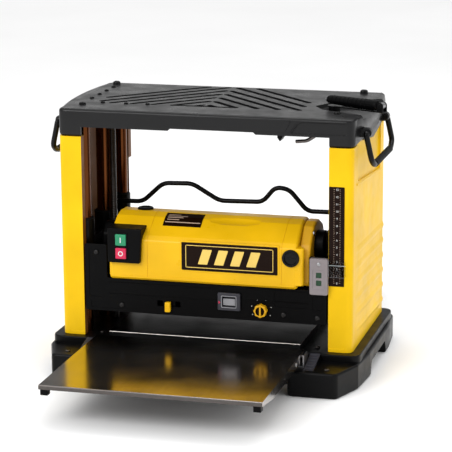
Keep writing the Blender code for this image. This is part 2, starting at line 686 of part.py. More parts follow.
def front_shroud():
    """Moulded cover across the front of the head, taller at both ends."""
    front, back = SHROUD_FRONT, SHROUD_FRONT + 0.0032
    x = SHROUD_HALF_X
    face = [(-x, CHEEK_LOW), (x, CHEEK_LOW), (x, PANEL_TOP), (0.190, PANEL_TOP), (0.190, ROOF_HIGH),
            (-0.180, ROOF_HIGH), (-0.180, PANEL_TOP), (-x, PANEL_TOP)]
    shroud = prism("front_shroud", rounded(face, 0.003, 2), "Y", front, back)
    for low in (CHEEK_LOW, ROOF_HIGH - 0.003):
        join(shroud, box("return", (-x + 0.004, back - 0.001, low), (x - 0.004, -0.1245, low + 0.003)))
    cut(shroud, cylinder("knob_hole", "Y", 0.1046, 0.127, 0.0060, front - 0.01, back + 0.01, SMALL_ROUND),
        box("tab_slot", (-0.087, front - 0.01, 0.1215), (-0.044, back + 0.01, 0.1320)),
        box("gauge_window", (0.031, front - 0.01, 0.1285), (0.062, back + 0.01, 0.150)),
        box("foot_slot", (0.0350, back + 0.0010, 0.09), (0.0580, -0.1360, 0.12)))
    return paint(shroud, BLACK, 0.55)


def shrunk(points, inset):
    """A section about the motor's axis with its corners eased, smaller by the inset."""
    middle = Vector((MOTOR_Y, MOTOR_Z))
    result = []
    for point in rounded(points, 0.008, 2):
        spot = Vector(point) - middle
        result.append(tuple(middle + spot * (1 - inset / spot.length)))
    return result


def motor_profile(inset=0.0):
    """The motor housing's section, (y, z): flat front, sloping shoulder, round top."""
    return shrunk([(-0.151, 0.1690), (MOTOR_FRONT, 0.176), (MOTOR_FRONT, 0.243), (-0.148, 0.251),
                   (-0.108, 0.2765), (-0.088, 0.2815), (-0.060, 0.2800), (-0.030, 0.266),
                   (-0.014, 0.240), (-0.011, 0.2050), (-0.011, 0.1690)], inset)


def end_profile(inset=0.0):
    """The end cap's section: the housing's, set back at the front."""
    return shrunk([(-0.136, 0.1720), (CAP_FRONT, 0.180), (CAP_FRONT, 0.232), (-0.132, 0.246),
                   (-0.104, 0.2730), (-0.086, 0.2785), (-0.060, 0.2770), (-0.033, 0.264),
                   (-0.017, 0.238), (-0.0145, 0.2050), (-0.0145, 0.1720)], inset)


def motor_housing():
    """Yellow motor housing, a cup that opens to the right."""
    housing = prism("motor_housing", motor_profile(), "X", MOTOR_LEFT, MOTOR_RIGHT)
    soften(housing, 0.0035, 2, 60)
    hollow = prism("hollow", motor_profile(0.0045), "X", MOTOR_LEFT + 0.004, MOTOR_RIGHT - 0.005)
    opening = prism("opening", end_profile(0.004), "X", MOTOR_RIGHT - 0.01, MOTOR_RIGHT + 0.01)
    cut(housing, hollow, opening,
        cylinder("shaft_hole", "X", MOTOR_Y, MOTOR_Z, 0.0080, MOTOR_LEFT - 0.01, MOTOR_LEFT + 0.01))
    return paint(housing, YELLOW, 0.35)


def motor_end_cap():
    """Right-hand end of the motor, set back, with the bearing's seat."""
    cap = prism("motor_end_cap", end_profile(), "X", MOTOR_RIGHT + GAP, CAP_RIGHT)
    soften(cap, 0.006, 2, 60)
    cut(cap, cylinder("seat", "X", MOTOR_Y, MOTOR_Z, 0.0300, MOTOR_RIGHT - 0.01, CAP_RIGHT - 0.006),
        cylinder("shaft_hole", "X", MOTOR_Y, MOTOR_Z, 0.0070, 0.17, 0.21))
    return paint(cap, ORANGE, 0.4)


def motor_bearing_cover():
    """Round black cover over the bearing at the end of the motor."""
    low = CAP_RIGHT + GAP
    cover = turned("motor_bearing_cover", "X", MOTOR_Y, MOTOR_Z + 0.010, [
        (0, 0.2050), (0.0235, 0.2050), (0.0235, low), (0.0265, low), (0.0265, 0.2065),
        (0.0240, 0.2090), (0, 0.2090)])
    return paint(cover, BLACK, 0.5)


def motor_field():
    """The field winding's iron ring."""
    field = cylinder("motor_field", "X", MOTOR_Y, MOTOR_Z, 0.0470, -0.060, 0.060)
    cut(field, cylinder("bore", "X", MOTOR_Y, MOTOR_Z, 0.0300, -0.07, 0.07))
    return paint(field, (0.25, 0.18, 0.12), 0.6, 0.6)


def motor_armature():
    """Armature, shaft and the small belt pulley at its left end."""
    armature = turned("motor_armature", "X", MOTOR_Y, MOTOR_Z, [
        (0, -0.1975), (0.0050, -0.1975), (0.0050, BELT_X0 - 0.0005), (0.0135, BELT_X0 - 0.0005),
        (MOTOR_PULLEY_R, BELT_X0), (MOTOR_PULLEY_R, BELT_X1), (0.0135, BELT_X1 + 0.0005),
        (0.0060, BELT_X1 + 0.0005), (0.0060, -0.058), (0.0285, -0.055), (0.0285, 0.055),
        (0.0180, 0.058), (0.0180, 0.100), (0.0060, 0.102), (0.0060, 0.2035), (0, 0.2035)])
    paint(armature, (0.45, 0.28, 0.15), 0.4, 0.9)
    return pivot(armature, (0, MOTOR_Y, MOTOR_Z))


def belt_cover():
    """Black box over the belt, between the motor and the left-hand posts."""
    outline = [(-0.107, ROOF_HIGH + GAP), (-0.107, 0.240), (-0.090, 0.258), (-0.070, 0.258),
               (-0.040, 0.235), (-0.0075, 0.190), (-0.0075, ROOF_HIGH + GAP)]
    cover = prism("belt_cover", rounded(outline, 0.006, 3), "X", -0.1998, MOTOR_LEFT - GAP)
    inner = [(-0.104, 0.150), (-0.104, 0.239), (-0.089, 0.255), (-0.071, 0.255), (-0.043, 0.233),
             (-0.0100, 0.1895), (-0.0100, 0.150)]
    cut(cover, prism("hollow", inner, "X", -0.1978, MOTOR_LEFT - 0.004),
        cylinder("shaft_hole", "X", MOTOR_Y, MOTOR_Z, 0.0080, -0.180, -0.160))
    return paint(cover, BLACK, 0.55)


def belt_outline(extra):
    """Open-belt loop round both pulleys, (y, z)."""
    small = Vector((MOTOR_Y, MOTOR_Z))
    large = Vector((0.0, CUTTER_Z))
    line = large - small
    heading = math.degrees(math.atan2(line.y, line.x))
    lean = math.degrees(math.asin((CUTTER_PULLEY_R - MOTOR_PULLEY_R) / line.length))
    outline = arc(*large, CUTTER_PULLEY_R + extra, heading - 90 - lean, heading + 90 + lean, 14)
    outline += arc(*small, MOTOR_PULLEY_R + extra, heading + 90 + lean, heading + 270 - lean, 10)
    return outline


def drive_belt():
    """Belt from the motor to the cutter block."""
    belt = prism("drive_belt", belt_outline(BELT_THICK), "X", BELT_X0 + 0.0003, BELT_X1 - 0.0003)
    cut(belt, prism("inside", belt_outline(0.0004), "X", BELT_X0 - 0.01, BELT_X1 + 0.01))
    return paint(belt, BLACK, 0.8)


def cutter_outline():
    """The cutter block's section: a circle with a seat for each knife."""
    outline = []
    for turn in (0, 180):
        for u, v in arc(0, 0, CUTTER_R, 40, 180, 14) + [(-0.0190, 0.0), (-0.0190, -0.0121)]:
            a = math.radians(turn)
            outline.append((u * math.cos(a) - v * math.sin(a),
                            u * math.sin(a) + v * math.cos(a) + CUTTER_Z))
    return outline


def cutter_block():
    """Two-knife cutter block with its journals and pulley."""
    block = prism("cutter_block", cutter_outline(), "X", -CUTTER_HALF_X, CUTTER_HALF_X)
    shaft = turned("shaft", "X", 0, CUTTER_Z, [
        (0, -0.1960), (0.0060, -0.1960), (0.0060, BELT_X0 - 0.0003), (CUTTER_PULLEY_R, BELT_X0),
        (CUTTER_PULLEY_R, BELT_X1), (0.0095, BELT_X1 + 0.0003), (0.0095, 0.1965), (0, 0.1965)])
    join(block, shaft)
    paint(block, STEEL, 0.3, 1.0)
    return pivot(block, (0, 0, CUTTER_Z))


def knife(name, turn):
    """Reversible knife: a thin blade bolted on its seat, edge just proud of the block."""
    a = math.radians(turn)
    corners = [(-0.0193, -0.0003), (-0.0222, -0.0003), (-0.0212, -0.0122), (-0.0193, -0.0122)]
    outline = [(u * math.cos(a) - v * math.sin(a), u * math.sin(a) + v * math.cos(a) + CUTTER_Z)
               for u, v in corners]
    blade = prism(name, outline, "X", -0.1600, 0.1600)
    paint(blade, STEEL, 0.2, 1.0)
    return pivot(blade, (0, 0, CUTTER_Z))


def roller(name, y):
    """Feed roller with a rubber face."""
    piece = turned(name, "X", y, ROLLER_Z, [
        (0, -0.1860), (0.0062, -0.1860), (0.0062, -0.1740), (0.0080, -0.1735),
        (0.0080, -ROLLER_HALF_X), (ROLLER_R, -ROLLER_HALF_X), (ROLLER_R, ROLLER_HALF_X),
        (0.0080, ROLLER_HALF_X), (0.0080, 0.1735), (0.0062, 0.1740), (0.0062, 0.1860), (0, 0.1860)])
    paint(piece, (0.10, 0.10, 0.10), 0.8)
    return pivot(piece, (0, y, ROLLER_Z))


def lift_nut(word, side):
    """Bronze nut that each screw turns in."""
    nut = cylinder(f"lift_nut_{word}", "Z", side * SCREW_X, SCREW_Y, NUT_R, 0.136, ROOF_HIGH)
    cut(nut, cylinder("thread", "Z", side * SCREW_X, SCREW_Y, SCREW_R + 0.0004, 0.12, 0.19))
    return paint(nut, BRONZE, 0.4, 1.0)


def switch_box():
    """Black switch box, fitted to the housing's front, with a pocket for each button."""
    box_front = SWITCH_FRONT
    face = [(-0.1720, 0.2020), (-0.1130, 0.2020), (-0.1090, 0.2645), (-0.1720, 0.2645)]
    body = prism("switch_box", face, "Y", box_front, -0.1100)
    soften(body, 0.0020, 1, 20)
    cut(body, prism("seat", motor_profile(-GAP * 2), "X", -0.20, -0.08))
    for low, high in ((0.2330, 0.2550), (0.2090, 0.2300)):
        cut(body, box("pocket", (-0.1575, box_front - 0.01, low), (-0.1365, box_front + 0.0068, high)))
    return paint(body, BLACK, 0.45)


def button(name, low, high, colour):
    """A push button: a cap on a shorter, wider foot."""
    box_front = SWITCH_FRONT
    cap = box(name, (-0.1568, box_front - 0.0028, low + 0.0007), (-0.1372, box_front + 0.0038, high - 0.0007))
    soften(cap, 0.0012, 2)
    return paint(cap, colour, 0.35)


def brush_cap():
    """Screw cap over the motor's front brush."""
    y = MOTOR_FRONT - GAP
    cap = turned("brush_cap", "Y", 0.1600, 0.2265, [
        (0, y), (0.0155, y), (0.0155, y - 0.0022), (0.0140, y - 0.0036), (0.0105, y - 0.0036),
        (0.0098, y - 0.0012), (0, y - 0.0012)])
    return paint(cap, BLACK, 0.4)


def chip_deflector():
    """Hood at the back of the head that throws the chips out behind."""
    outer = [(0.1185, 0.118), (0.1500, 0.118), (0.1500, 0.150), (0.1280, 0.196), (0.0500, 0.200),
             (0.0200, 0.186), (0.0200, ROOF_HIGH + GAP), (0.1185, ROOF_HIGH + GAP)]
    inner = [(0.1210, 0.100), (0.1475, 0.100), (0.1475, 0.149), (0.1262, 0.1935), (0.0510, 0.1975),
             (0.0225, 0.1845), (0.0225, 0.1700), (0.1210, 0.1700)]
    hood = prism("chip_deflector", outer, "X", -0.172, 0.172)
    cut(hood, prism("hollow", inner, "X", -0.169, 0.169))
    return paint(hood, BLACK, 0.55)


def pointer_bracket():
    """Grey block on the shroud that carries the pointer."""
    block = prism("pointer_bracket", rounded(rectangle(0.193, 0.2252, 0.163, 0.228), 0.003, 2), "Y",
                  -0.1555, SHROUD_FRONT - GAP)
    soften(block, 0.001, 1, 60)
    cut(block, box("window", (0.205, -0.17, 0.193), (0.214, -0.1543, 0.202)),
        box("window", (0.205, -0.17, 0.180), (0.214, -0.1543, 0.189)))
    return paint(block, GREY, 0.45, 0.4)


def pointer_lens():
    """Clear pointer in front of the scale."""
    lens = box("pointer_lens", (0.2252 + GAP, -0.1505, 0.195), (0.2550, -0.1478, 0.224))
    soften(lens, 0.0006, 1)
    return paint(lens, (0.85, 0.88, 0.90), 0.05)


def removal_gauge():
    """Frame of the gauge that shows how much one pass takes off."""
    frame = prism("removal_gauge", rounded(rectangle(0.026, 0.067, 0.123, 0.155), 0.002, 2), "Y",
                  -0.1510, SHROUD_FRONT - GAP)
    soften(frame, 0.0008, 1, 60)
    cut(frame, box("window", (0.0345, -0.16, 0.130), (0.0585, -0.14, 0.148)))
    return paint(frame, GREY, 0.45)


def gauge_slider():
    """Sprung plate that the stock pushes up behind the gauge's window."""
    plate = box("gauge_slider", (0.0355, -0.1488, 0.1320), (0.0575, -0.1380, 0.1440))
    foot = box("foot", (0.0375, -0.1405, 0.1045), (0.0555, -0.1380, 0.1335))
    join(plate, foot)
    return paint(plate, (0.45, 0.45, 0.47), 0.4)


def depth_stop_knob():
    """Star knob that picks one of the preset depths."""
    x, z, y = 0.1046, 0.127, SHROUD_FRONT - 0.0005
    outline = []
    for k in range(36):
        a = 2 * math.pi * k / 36
        radius = 0.0115 + 0.0006 * math.cos(6 * a)
        outline.append((x + radius * math.cos(a), z + radius * math.sin(a)))
    knob = prism("depth_stop_knob", outline, "Y", y - 0.0115, y)
    soften(knob, 0.0008, 1, 60)
    join(knob, cylinder("stem", "Y", x, z, 0.0050, y - 0.001, -0.1300, SMALL_ROUND))
    cut(knob, cylinder("eye", "Y", x, z, 0.0042, y - 0.02, y - 0.0085, 6))
    paint(knob, YELLOW, 0.4)
    return pivot(knob, (x, y, z))


def lock_tab():
    """Yellow tab of the slide that locks the cutter block for a knife change."""
    tab = box("lock_tab", (-0.0712, -0.1535, 0.1130), (-0.0612, SHROUD_FRONT - 0.0006, 0.1310))
    soften(tab, 0.001, 1)
    stem = box("stem", (-0.0695, -0.1470, 0.1240), (-0.0630, -0.1395, 0.1300))
    keeper = box("keeper", (-0.0780, -0.1415, 0.1170), (-0.0545, -0.1385, 0.1360))
    join(tab, stem, keeper)
    return paint(tab, YELLOW, 0.4)


def head_lock_bar():
    """Bent bar across the head. Swinging it back locks the head on its posts."""
    y = LOCK_BAR_Y
    z = LOCK_BAR_Z
    bend = [(-0.240, z), (-0.168, z + 0.001), (-0.128, z + 0.038), (-0.072, z + 0.040),
            (-0.020, z + 0.010), (0.062, z + 0.012), (0.086, z + 0.041), (0.112, z + 0.038),
            (0.146, z - 0.001), (0.240, z)]
    bar = rod("head_lock_bar", soft_path([(x, y, h) for x, h in bend], 0.008, 3), LOCK_BAR_R)
    paint(bar, BLACK, 0.35)
    return pivot(bar, (0, y, z))


def cord_gland():
    """Inlet on the back of the housing where the mains lead goes in."""
    gland = turned("cord_gland", "Y", -0.130, 0.2100, [
        (0, -0.0105), (0.0105, -0.0105), (0.0105, -0.0070), (0.0075, -0.0065), (0.0065, 0.0050),
        (0.0042, 0.0050), (0.0042, -0.0040), (0, -0.0040)])
    return paint(gland, BLACK, 0.7)


def build():
    clear_scene()
    base_casting()
    bed_plate()
    top_plate()
    posts()
    right = side_cover_right()
    paint(mirrored(right, "side_cover_left"), YELLOW, 0.35)
    top_cover()
    scale_strip()
    tool_clip()
    hex_wrench()
    drive_chain()
    table_brackets()
    table("infeed_table", -1)
    table("outfeed_table", 1)
    handle = carry_handle_right()
    other = mirrored(handle, "carry_handle_left")
    paint(other, BLACK, 0.35)
    pivot(handle, (HANDLE_X, 0, HANDLE_Z))
    pivot(other, (-HANDLE_X, 0, HANDLE_Z))
    for word, side in (("left", -1), ("right", 1)):
        lift_screw(word, side)
        lift_nut(word, side)
    crank_arm()
    crank_spindle()
    crank_grip()
    carriage_casting()
    front_shroud()
    motor_housing()
    motor_end_cap()
    motor_bearing_cover()
    motor_field()
    motor_armature()
    belt_cover()
    drive_belt()
    cutter_block()
    knife("knife_front", 0)
    knife("knife_rear", 180)
    roller("infeed_roller", -ROLLER_Y)
    roller("outfeed_roller", ROLLER_Y)
    switch_box()
    button("start_button", 0.2330, 0.2550, (0.05, 0.40, 0.20))
    button("stop_button", 0.2090, 0.2300, (0.70, 0.03, 0.06))
    brush_cap()
    chip_deflector()
    pointer_bracket()
    pointer_lens()
    removal_gauge()
    gauge_slider()
    depth_stop_knob()
    lock_tab()
    head_lock_bar()
    cord_gland()


build()
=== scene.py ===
"""Looks for the thickness planer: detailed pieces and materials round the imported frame."""
import json
from math import atan2, cos, degrees, hypot, pi, radians, sin, tan

import bmesh
import bpy
from mathutils import Matrix, Vector

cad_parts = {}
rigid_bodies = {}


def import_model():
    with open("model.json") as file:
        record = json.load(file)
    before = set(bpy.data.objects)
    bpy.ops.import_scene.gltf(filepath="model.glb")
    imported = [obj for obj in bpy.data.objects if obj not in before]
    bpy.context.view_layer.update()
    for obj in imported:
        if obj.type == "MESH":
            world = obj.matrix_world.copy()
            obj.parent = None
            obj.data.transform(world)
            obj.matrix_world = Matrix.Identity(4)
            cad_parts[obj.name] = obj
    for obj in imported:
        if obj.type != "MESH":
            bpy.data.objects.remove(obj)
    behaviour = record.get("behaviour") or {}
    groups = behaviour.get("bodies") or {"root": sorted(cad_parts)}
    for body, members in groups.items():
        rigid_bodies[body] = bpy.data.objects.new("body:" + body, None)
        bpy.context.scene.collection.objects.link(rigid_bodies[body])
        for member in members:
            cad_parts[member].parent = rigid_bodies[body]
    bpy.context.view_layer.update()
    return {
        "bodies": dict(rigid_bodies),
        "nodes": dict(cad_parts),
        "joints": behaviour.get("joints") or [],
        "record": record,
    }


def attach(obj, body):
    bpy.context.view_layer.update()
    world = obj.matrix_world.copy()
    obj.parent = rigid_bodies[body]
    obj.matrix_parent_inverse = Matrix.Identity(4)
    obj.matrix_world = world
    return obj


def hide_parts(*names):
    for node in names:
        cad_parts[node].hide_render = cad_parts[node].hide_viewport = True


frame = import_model()

# Places and sizes that the pieces share with the CAD model, in metres.
GAP = 0.0003
PAST = 0.01  # how far a cutter reaches past the face it cuts
GROOVE_DEPTH = 0.0034
SHEET = 0.003  # thickness of the folded tables
BED_TOP = 0.071
BASE_TOP = 0.0582
ARM_TOP = 0.0455
LID_HALF_X = 0.268
LID_FRONT = -0.144
LID_BACK = 0.149
LID_TOP = 0.472
LID_WALL = 0.004
LID_SKIRT = 0.44
LID_CORNER = 0.4228
SIDE_OUT = 0.267
SIDE_IN = 0.2245
SIDE_HALF_Y = 0.1445
SIDE_TOP = 0.4225
RECESS_LOW = 0.357
RECESS_FALL = 0.017
POST_X = 0.229
SCREW = Vector((0.207, -0.02, 0.0))
SCREW_R = 0.0065
CRANK_ANGLE = radians(-24.0)
CRANK_REACH = 0.1015
CRANK_LOW = 0.4727
CRANK_THICK = 0.0022
GRIP_R = 0.0092
GRIP_Z = CRANK_LOW + CRANK_THICK + GAP + GRIP_R
GRIP_BACK = -0.013
HANDLE_X = 0.281
HANDLE_Z = 0.442
HANDLE_R = 0.005
HANDLE_FRONT = -0.105
HANDLE_REAR = 0.087
LUG_INSET = 0.015
TABLE_HALF_X = 0.1905
TABLE_NEAR = 0.18
TABLE_FAR = 0.482
HINGE_Y = 0.19
HINGE_Z = 0.0605
SHROUD_FRONT = -0.1455
SHROUD_HALF_X = 0.2215
ROOF_HIGH = 0.168
PANEL_TOP = 0.229
MOTOR_Y = -0.083
MOTOR_Z = 0.2255
MOTOR_LEFT = -0.1725
MOTOR_RIGHT = 0.17
MOTOR_FRONT = -0.156
CAP_RIGHT = 0.1905
CAP_FRONT = -0.14
SWITCH_FRONT = -0.165
LOCK_BAR_Y = 0.035
LOCK_BAR_Z = 0.268
LOCK_BAR_R = 0.0043
KNOB_X = 0.1046
KNOB_Z = 0.127
FLOOR_HALF = 6.0


# ------------------------------------------------------------------ mesh tools
def new_object(name, data):
    obj = bpy.data.objects.new(name, data)
    bpy.context.scene.collection.objects.link(obj)
    return obj


def from_bmesh(name, bm):
    bmesh.ops.recalc_face_normals(bm, faces=bm.faces)
    mesh = bpy.data.meshes.new(name)
    bm.to_mesh(mesh)
    bm.free()
    return new_object(name, mesh)


def place(axis, u, v, w):
    """A point from two places across an axis and one along it."""
    if axis == "X":
        return Vector((w, u, v))
    if axis == "Y":
        return Vector((u, w, v))
    return Vector((u, v, w))


def prism(name, outline, axis, low, high):
    """An outline pushed along an axis: (y, z) for X, (x, z) for Y, (x, y) for Z."""
    bm = bmesh.new()
    near = [bm.verts.new(place(axis, u, v, low)) for u, v in outline]
    far = [bm.verts.new(place(axis, u, v, high)) for u, v in outline]
    bm.faces.new(near)
    bm.faces.new(far)
    for i in range(len(outline)):
        j = (i + 1) % len(outline)
        bm.faces.new((near[i], near[j], far[j], far[i]))
    return from_bmesh(name, bm)


def rectangle(u0, u1, v0, v1):
    return [(u0, v0), (u1, v0), (u1, v1), (u0, v1)]


def rounded(points, radius, steps=6):
    """An outline with its corners turned into arcs."""
    result = []
    for i, point in enumerate(points):
        here = Vector(point)
        before = Vector(points[i - 1]) - here
        after = Vector(points[(i + 1) % len(points)]) - here
        half = before.angle(after) / 2
        reach = min(radius / tan(half), before.length * 0.49, after.length * 0.49)
        start = here + before.normalized() * reach
        end = here + after.normalized() * reach
        for k in range(steps + 1):
            t = k / steps
            spot = start * (1 - t) ** 2 + here * 2 * t * (1 - t) + end * t ** 2
            result.append((spot.x, spot.y))
    return result


def arc(cu, cv, radius, start, end, steps):
    angles = [radians(start + (end - start) * k / steps) for k in range(steps + 1)]
    return [(cu + radius * cos(a), cv + radius * sin(a)) for a in angles]


def circle(cu, cv, radius, sides=48):
    return arc(cu, cv, radius, 0, 360, sides)[:-1]


def box(name, low, high):
    return prism(name, rectangle(low[0], high[0], low[1], high[1]), "Z", low[2], high[2])


def pad(name, axis, edges, radius, steps, low, high):
    """A slab with rounded corners between four edges."""
    return prism(name, rounded(rectangle(*edges), radius, steps), axis, low, high)


def cylinder(name, axis, cu, cv, radius, low, high, sides=48):
    return prism(name, circle(cu, cv, radius, sides), axis, low, high)


def turned(name, axis, cu, cv, profile, sides=48):
    """A shape of revolution from (radius, place along the axis)."""
    bm = bmesh.new()
    rings = []
    for radius, along in profile:
        if radius == 0:
            rings.append([bm.verts.new(place(axis, cu, cv, along))])
        else:
            rings.append([bm.verts.new(place(axis, u, v, along)) for u, v in circle(cu, cv, radius, sides)])
    for first, second in zip(rings, rings[1:]):
        for i in range(sides):
            j = (i + 1) % sides
            if len(first) == 1:
                bm.faces.new((first[0], second[j], second[i]))
            elif len(second) == 1:
                bm.faces.new((first[i], first[j], second[0]))
            else:
                bm.faces.new((first[i], first[j], second[j], second[i]))
    return from_bmesh(name, bm)


def skin(name, bm, rings):
    """Faces from each ring of corners to the next, with the two ends closed."""
    for first, second in zip(rings, rings[1:]):
        for i in range(len(first)):
            j = (i + 1) % len(first)
            bm.faces.new((first[i], first[j], second[j], second[i]))
    bm.faces.new(rings[0])
    bm.faces.new(rings[-1])
    return from_bmesh(name, bm)


def soft_path(points, radius, steps=8):
    """A path through the points with its corners turned into curves."""
    spots = [Vector(p) for p in points]
    result = [spots[0]]
    for before, here, after in zip(spots, spots[1:], spots[2:]):
        back, ahead = before - here, after - here
        reach = min(radius, back.length * 0.49, ahead.length * 0.49)
        start = here + back.normalized() * reach
        end = here + ahead.normalized() * reach
        for k in range(steps + 1):
            t = k / steps
            result.append(start * (1 - t) ** 2 + here * 2 * t * (1 - t) + end * t ** 2)
    result.append(spots[-1])
    return result


def rod(name, path, radius, sides=20):
    """A round bar along a path."""
    bm = bmesh.new()
    rings = []
    ahead = (path[1] - path[0]).normalized()
    side = ahead.orthogonal().normalized()
    for i, spot in enumerate(path):
        heading = (path[min(i + 1, len(path) - 1)] - path[max(i - 1, 0)]).normalized()
        side = ahead.rotation_difference(heading) @ side
        ahead = heading
        other = ahead.cross(side)
        angles = [2 * pi * k / sides for k in range(sides)]
        rings.append([bm.verts.new(spot + radius * (cos(a) * side + sin(a) * other))
                      for a in angles])
    return skin(name, bm, rings)


def settle(obj):
    """Bakes the modifiers into the mesh."""
    graph = bpy.context.evaluated_depsgraph_get()
    mesh = bpy.data.meshes.new_from_object(obj.evaluated_get(graph))
    obj.modifiers.clear()
    obj.data = mesh
    return obj


def combine(obj, others, operation):
    for other in others:
        modifier = obj.modifiers.new("shape", "BOOLEAN")
        modifier.operation = operation
        modifier.solver = "EXACT"
        modifier.object = other
        bpy.context.view_layer.update()
        settle(obj)
        bpy.data.objects.remove(other, do_unlink=True)
    return obj


def join(obj, *others):
    return combine(obj, others, "UNION")


def cut(obj, *others):
    return combine(obj, others, "DIFFERENCE")


def soften(obj, width, segments=3, angle=35):
    modifier = obj.modifiers.new("edges", "BEVEL")
    modifier.width = width
    modifier.segments = segments
    modifier.limit_method = "ANGLE"
    modifier.angle_limit = radians(angle)
    modifier.use_clamp_overlap = True
    bpy.context.view_layer.update()
    return settle(obj)


def gather(obj, *others):
    """Puts other meshes into this object as they stand."""
    bm = bmesh.new()
    bm.from_mesh(obj.data)
    for other in others:
        bm.from_mesh(other.data)
        bpy.data.objects.remove(other, do_unlink=True)
    bm.to_mesh(obj.data)
    bm.free()
    return obj


def flipped(obj, name):
    """A copy on the other side of the middle plane."""
    mesh = obj.data.copy()
    mesh.transform(Matrix.Diagonal((-1, 1, 1, 1)))
    mesh.flip_normals()
    return new_object(name, mesh)


def dress(obj, material, body, slot, *nodes, angle=34):
    """Gives a piece its material, smooth shading and body, and hides the nodes it stands for. The slot
    argument is not used.
    """
    obj.data.materials.clear()
    for item in material if isinstance(material, tuple) else (material,):
        obj.data.materials.append(item)
    obj.data.shade_smooth()
    obj.data.set_sharp_from_angle(angle=radians(angle))
    modifier = obj.modifiers.new("normals", "WEIGHTED_NORMAL")
    modifier.keep_sharp = True
    bpy.context.view_layer.update()
    settle(obj)
    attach(obj, body)
    if nodes:
        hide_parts(*nodes)
    return obj


def paint(obj, index, belongs):
    """Gives the faces that belong to a second material its index."""
    for face in obj.data.polygons:
        if belongs(face):
            face.material_index = index


def screw_head(name, axis, cu, cv, along, radius, height, out=1):
    """A domed screw head with a cross recess. It stands out from `along` by `height`."""
    top = along + out * height
    head = turned(name, axis, cu, cv, [
        (0, along - out * 0.001), (radius, along - out * 0.001), (radius, along + out * height * 0.45),
        (radius * 0.86, along + out * height * 0.8), (radius * 0.5, top), (0, top)], 28)
    for a, b in ((0.62, 0.14), (0.14, 0.62)):
        cross = rectangle(cu - radius * a, cu + radius * a, cv - radius * b, cv + radius * b)
        low, high = sorted((top - out * height * 0.5, top + out * 0.01))
        cut(head, prism("cross", cross, axis, low, high))
    return head


def screws(name, axis, spots, along, radius, height, out=1):
    """Screw heads of one size on one face."""
    return gather(*[screw_head(name, axis, u, v, along, radius, height, out) for u, v in spots])


# ------------------------------------------------------------------- materials
class Nodes:
    """Short ways to add the nodes that the materials share."""

    def __init__(self, name):
        self.material = bpy.data.materials.new(name)
        self.material.use_nodes = True
        self.tree = self.material.node_tree
        self.shader = self.tree.nodes["Principled BSDF"]
        self.coords = self.tree.nodes.new("ShaderNodeTexCoord").outputs["Object"]

    def link(self, source, socket):
        self.tree.links.new(source, socket)

    def set(self, socket, value):
        self.shader.inputs[socket].default_value = value

    def add(self, kind, **values):
        node = self.tree.nodes.new("ShaderNode" + kind)
        for socket, value in values.items():
            node.inputs[socket.replace("_", " ")].default_value = value
        return node

    def noise(self, scale, detail=3.0, stretch=(1, 1, 1)):
        spread = self.add("Mapping", Scale=stretch)
        self.link(self.coords, spread.inputs["Vector"])
        node = self.add("TexNoise", Scale=scale, Detail=detail)
        self.link(spread.outputs["Vector"], node.inputs["Vector"])
        return node.outputs["Fac"]

    def ramp(self, source, low, high, first, last):
        """Maps a value between low and high onto two colours."""
        node = self.add("ValToRGB")
        for stop, place_at, colour in zip(node.color_ramp.elements, (low, high), (first, last)):
            stop.position = place_at
            stop.color = (*colour, 1)
        self.link(source, node.inputs["Fac"])
        return node.outputs["Color"]

    def spread(self, source, low, high):
        """Maps the middle of a noise onto a range of values."""
        node = self.add("MapRange", From_Min=0.3, From_Max=0.7, To_Min=low, To_Max=high)
        self.link(source, node.inputs["Value"])
        return node.outputs["Result"]

    def mix(self, factor, first, second):
        node = self.add("Mix")
        node.data_type = "RGBA"
        self.link(factor, node.inputs["Factor"])
        self.link(first, node.inputs[6])
        self.link(second, node.inputs[7])
        return node.outputs[2]

    def bump(self, source, strength, distance):
        node = self.add("Bump", Strength=strength, Distance=distance)
        self.link(source, node.inputs["Height"])
        self.link(node.outputs["Normal"], self.shader.inputs["Normal"])


def shade(colour, factor):
    return tuple(min(1.0, c * factor) for c in colour)


def moulded(name, colour, roughness, grain=900, depth=0.00002, scuff=None, specular=0.3):
    """Moulded plastic or paint: slight clouding, fine grain, and sparse pale scuffs."""
    n = Nodes(name)
    cloud = n.noise(9.0, 4.0)
    base = n.ramp(cloud, 0.3, 0.7, shade(colour, 0.88), shade(colour, 1.1))
    if scuff:
        spots = n.ramp(n.noise(55.0, 6.0, (1, 1, 0.35)), 0.66, 0.78, (0, 0, 0), (0.7, 0.7, 0.7))
        base = n.mix(spots, base, n.ramp(cloud, 0.3, 0.7, scuff, shade(scuff, 1.1)))
    n.link(base, n.shader.inputs["Base Color"])
    n.link(n.spread(n.noise(35.0, 3.0), roughness - 0.05, roughness + 0.07), n.shader.inputs["Roughness"])
    n.bump(n.noise(grain, 2.0), 0.35, depth)
    n.set("Specular IOR Level", specular)
    return n.material


def metal(name, colour, roughness, stretch=(1, 1, 1), depth=0.00001, smears=0.04):
    """Bare metal with fine marks along one direction and faint smears."""
    n = Nodes(name)
    streak = n.noise(260.0, 3.0, stretch)
    tone = n.ramp(streak, 0.3, 0.7, shade(colour, 0.88), shade(colour, 1.06))
    n.link(tone, n.shader.inputs["Base Color"])
    n.set("Metallic", 1.0)
    smear = n.spread(n.noise(14.0, 5.0), roughness - smears, roughness + smears)
    n.link(smear, n.shader.inputs["Roughness"])
    n.bump(streak, 0.25, depth)
    return n.material


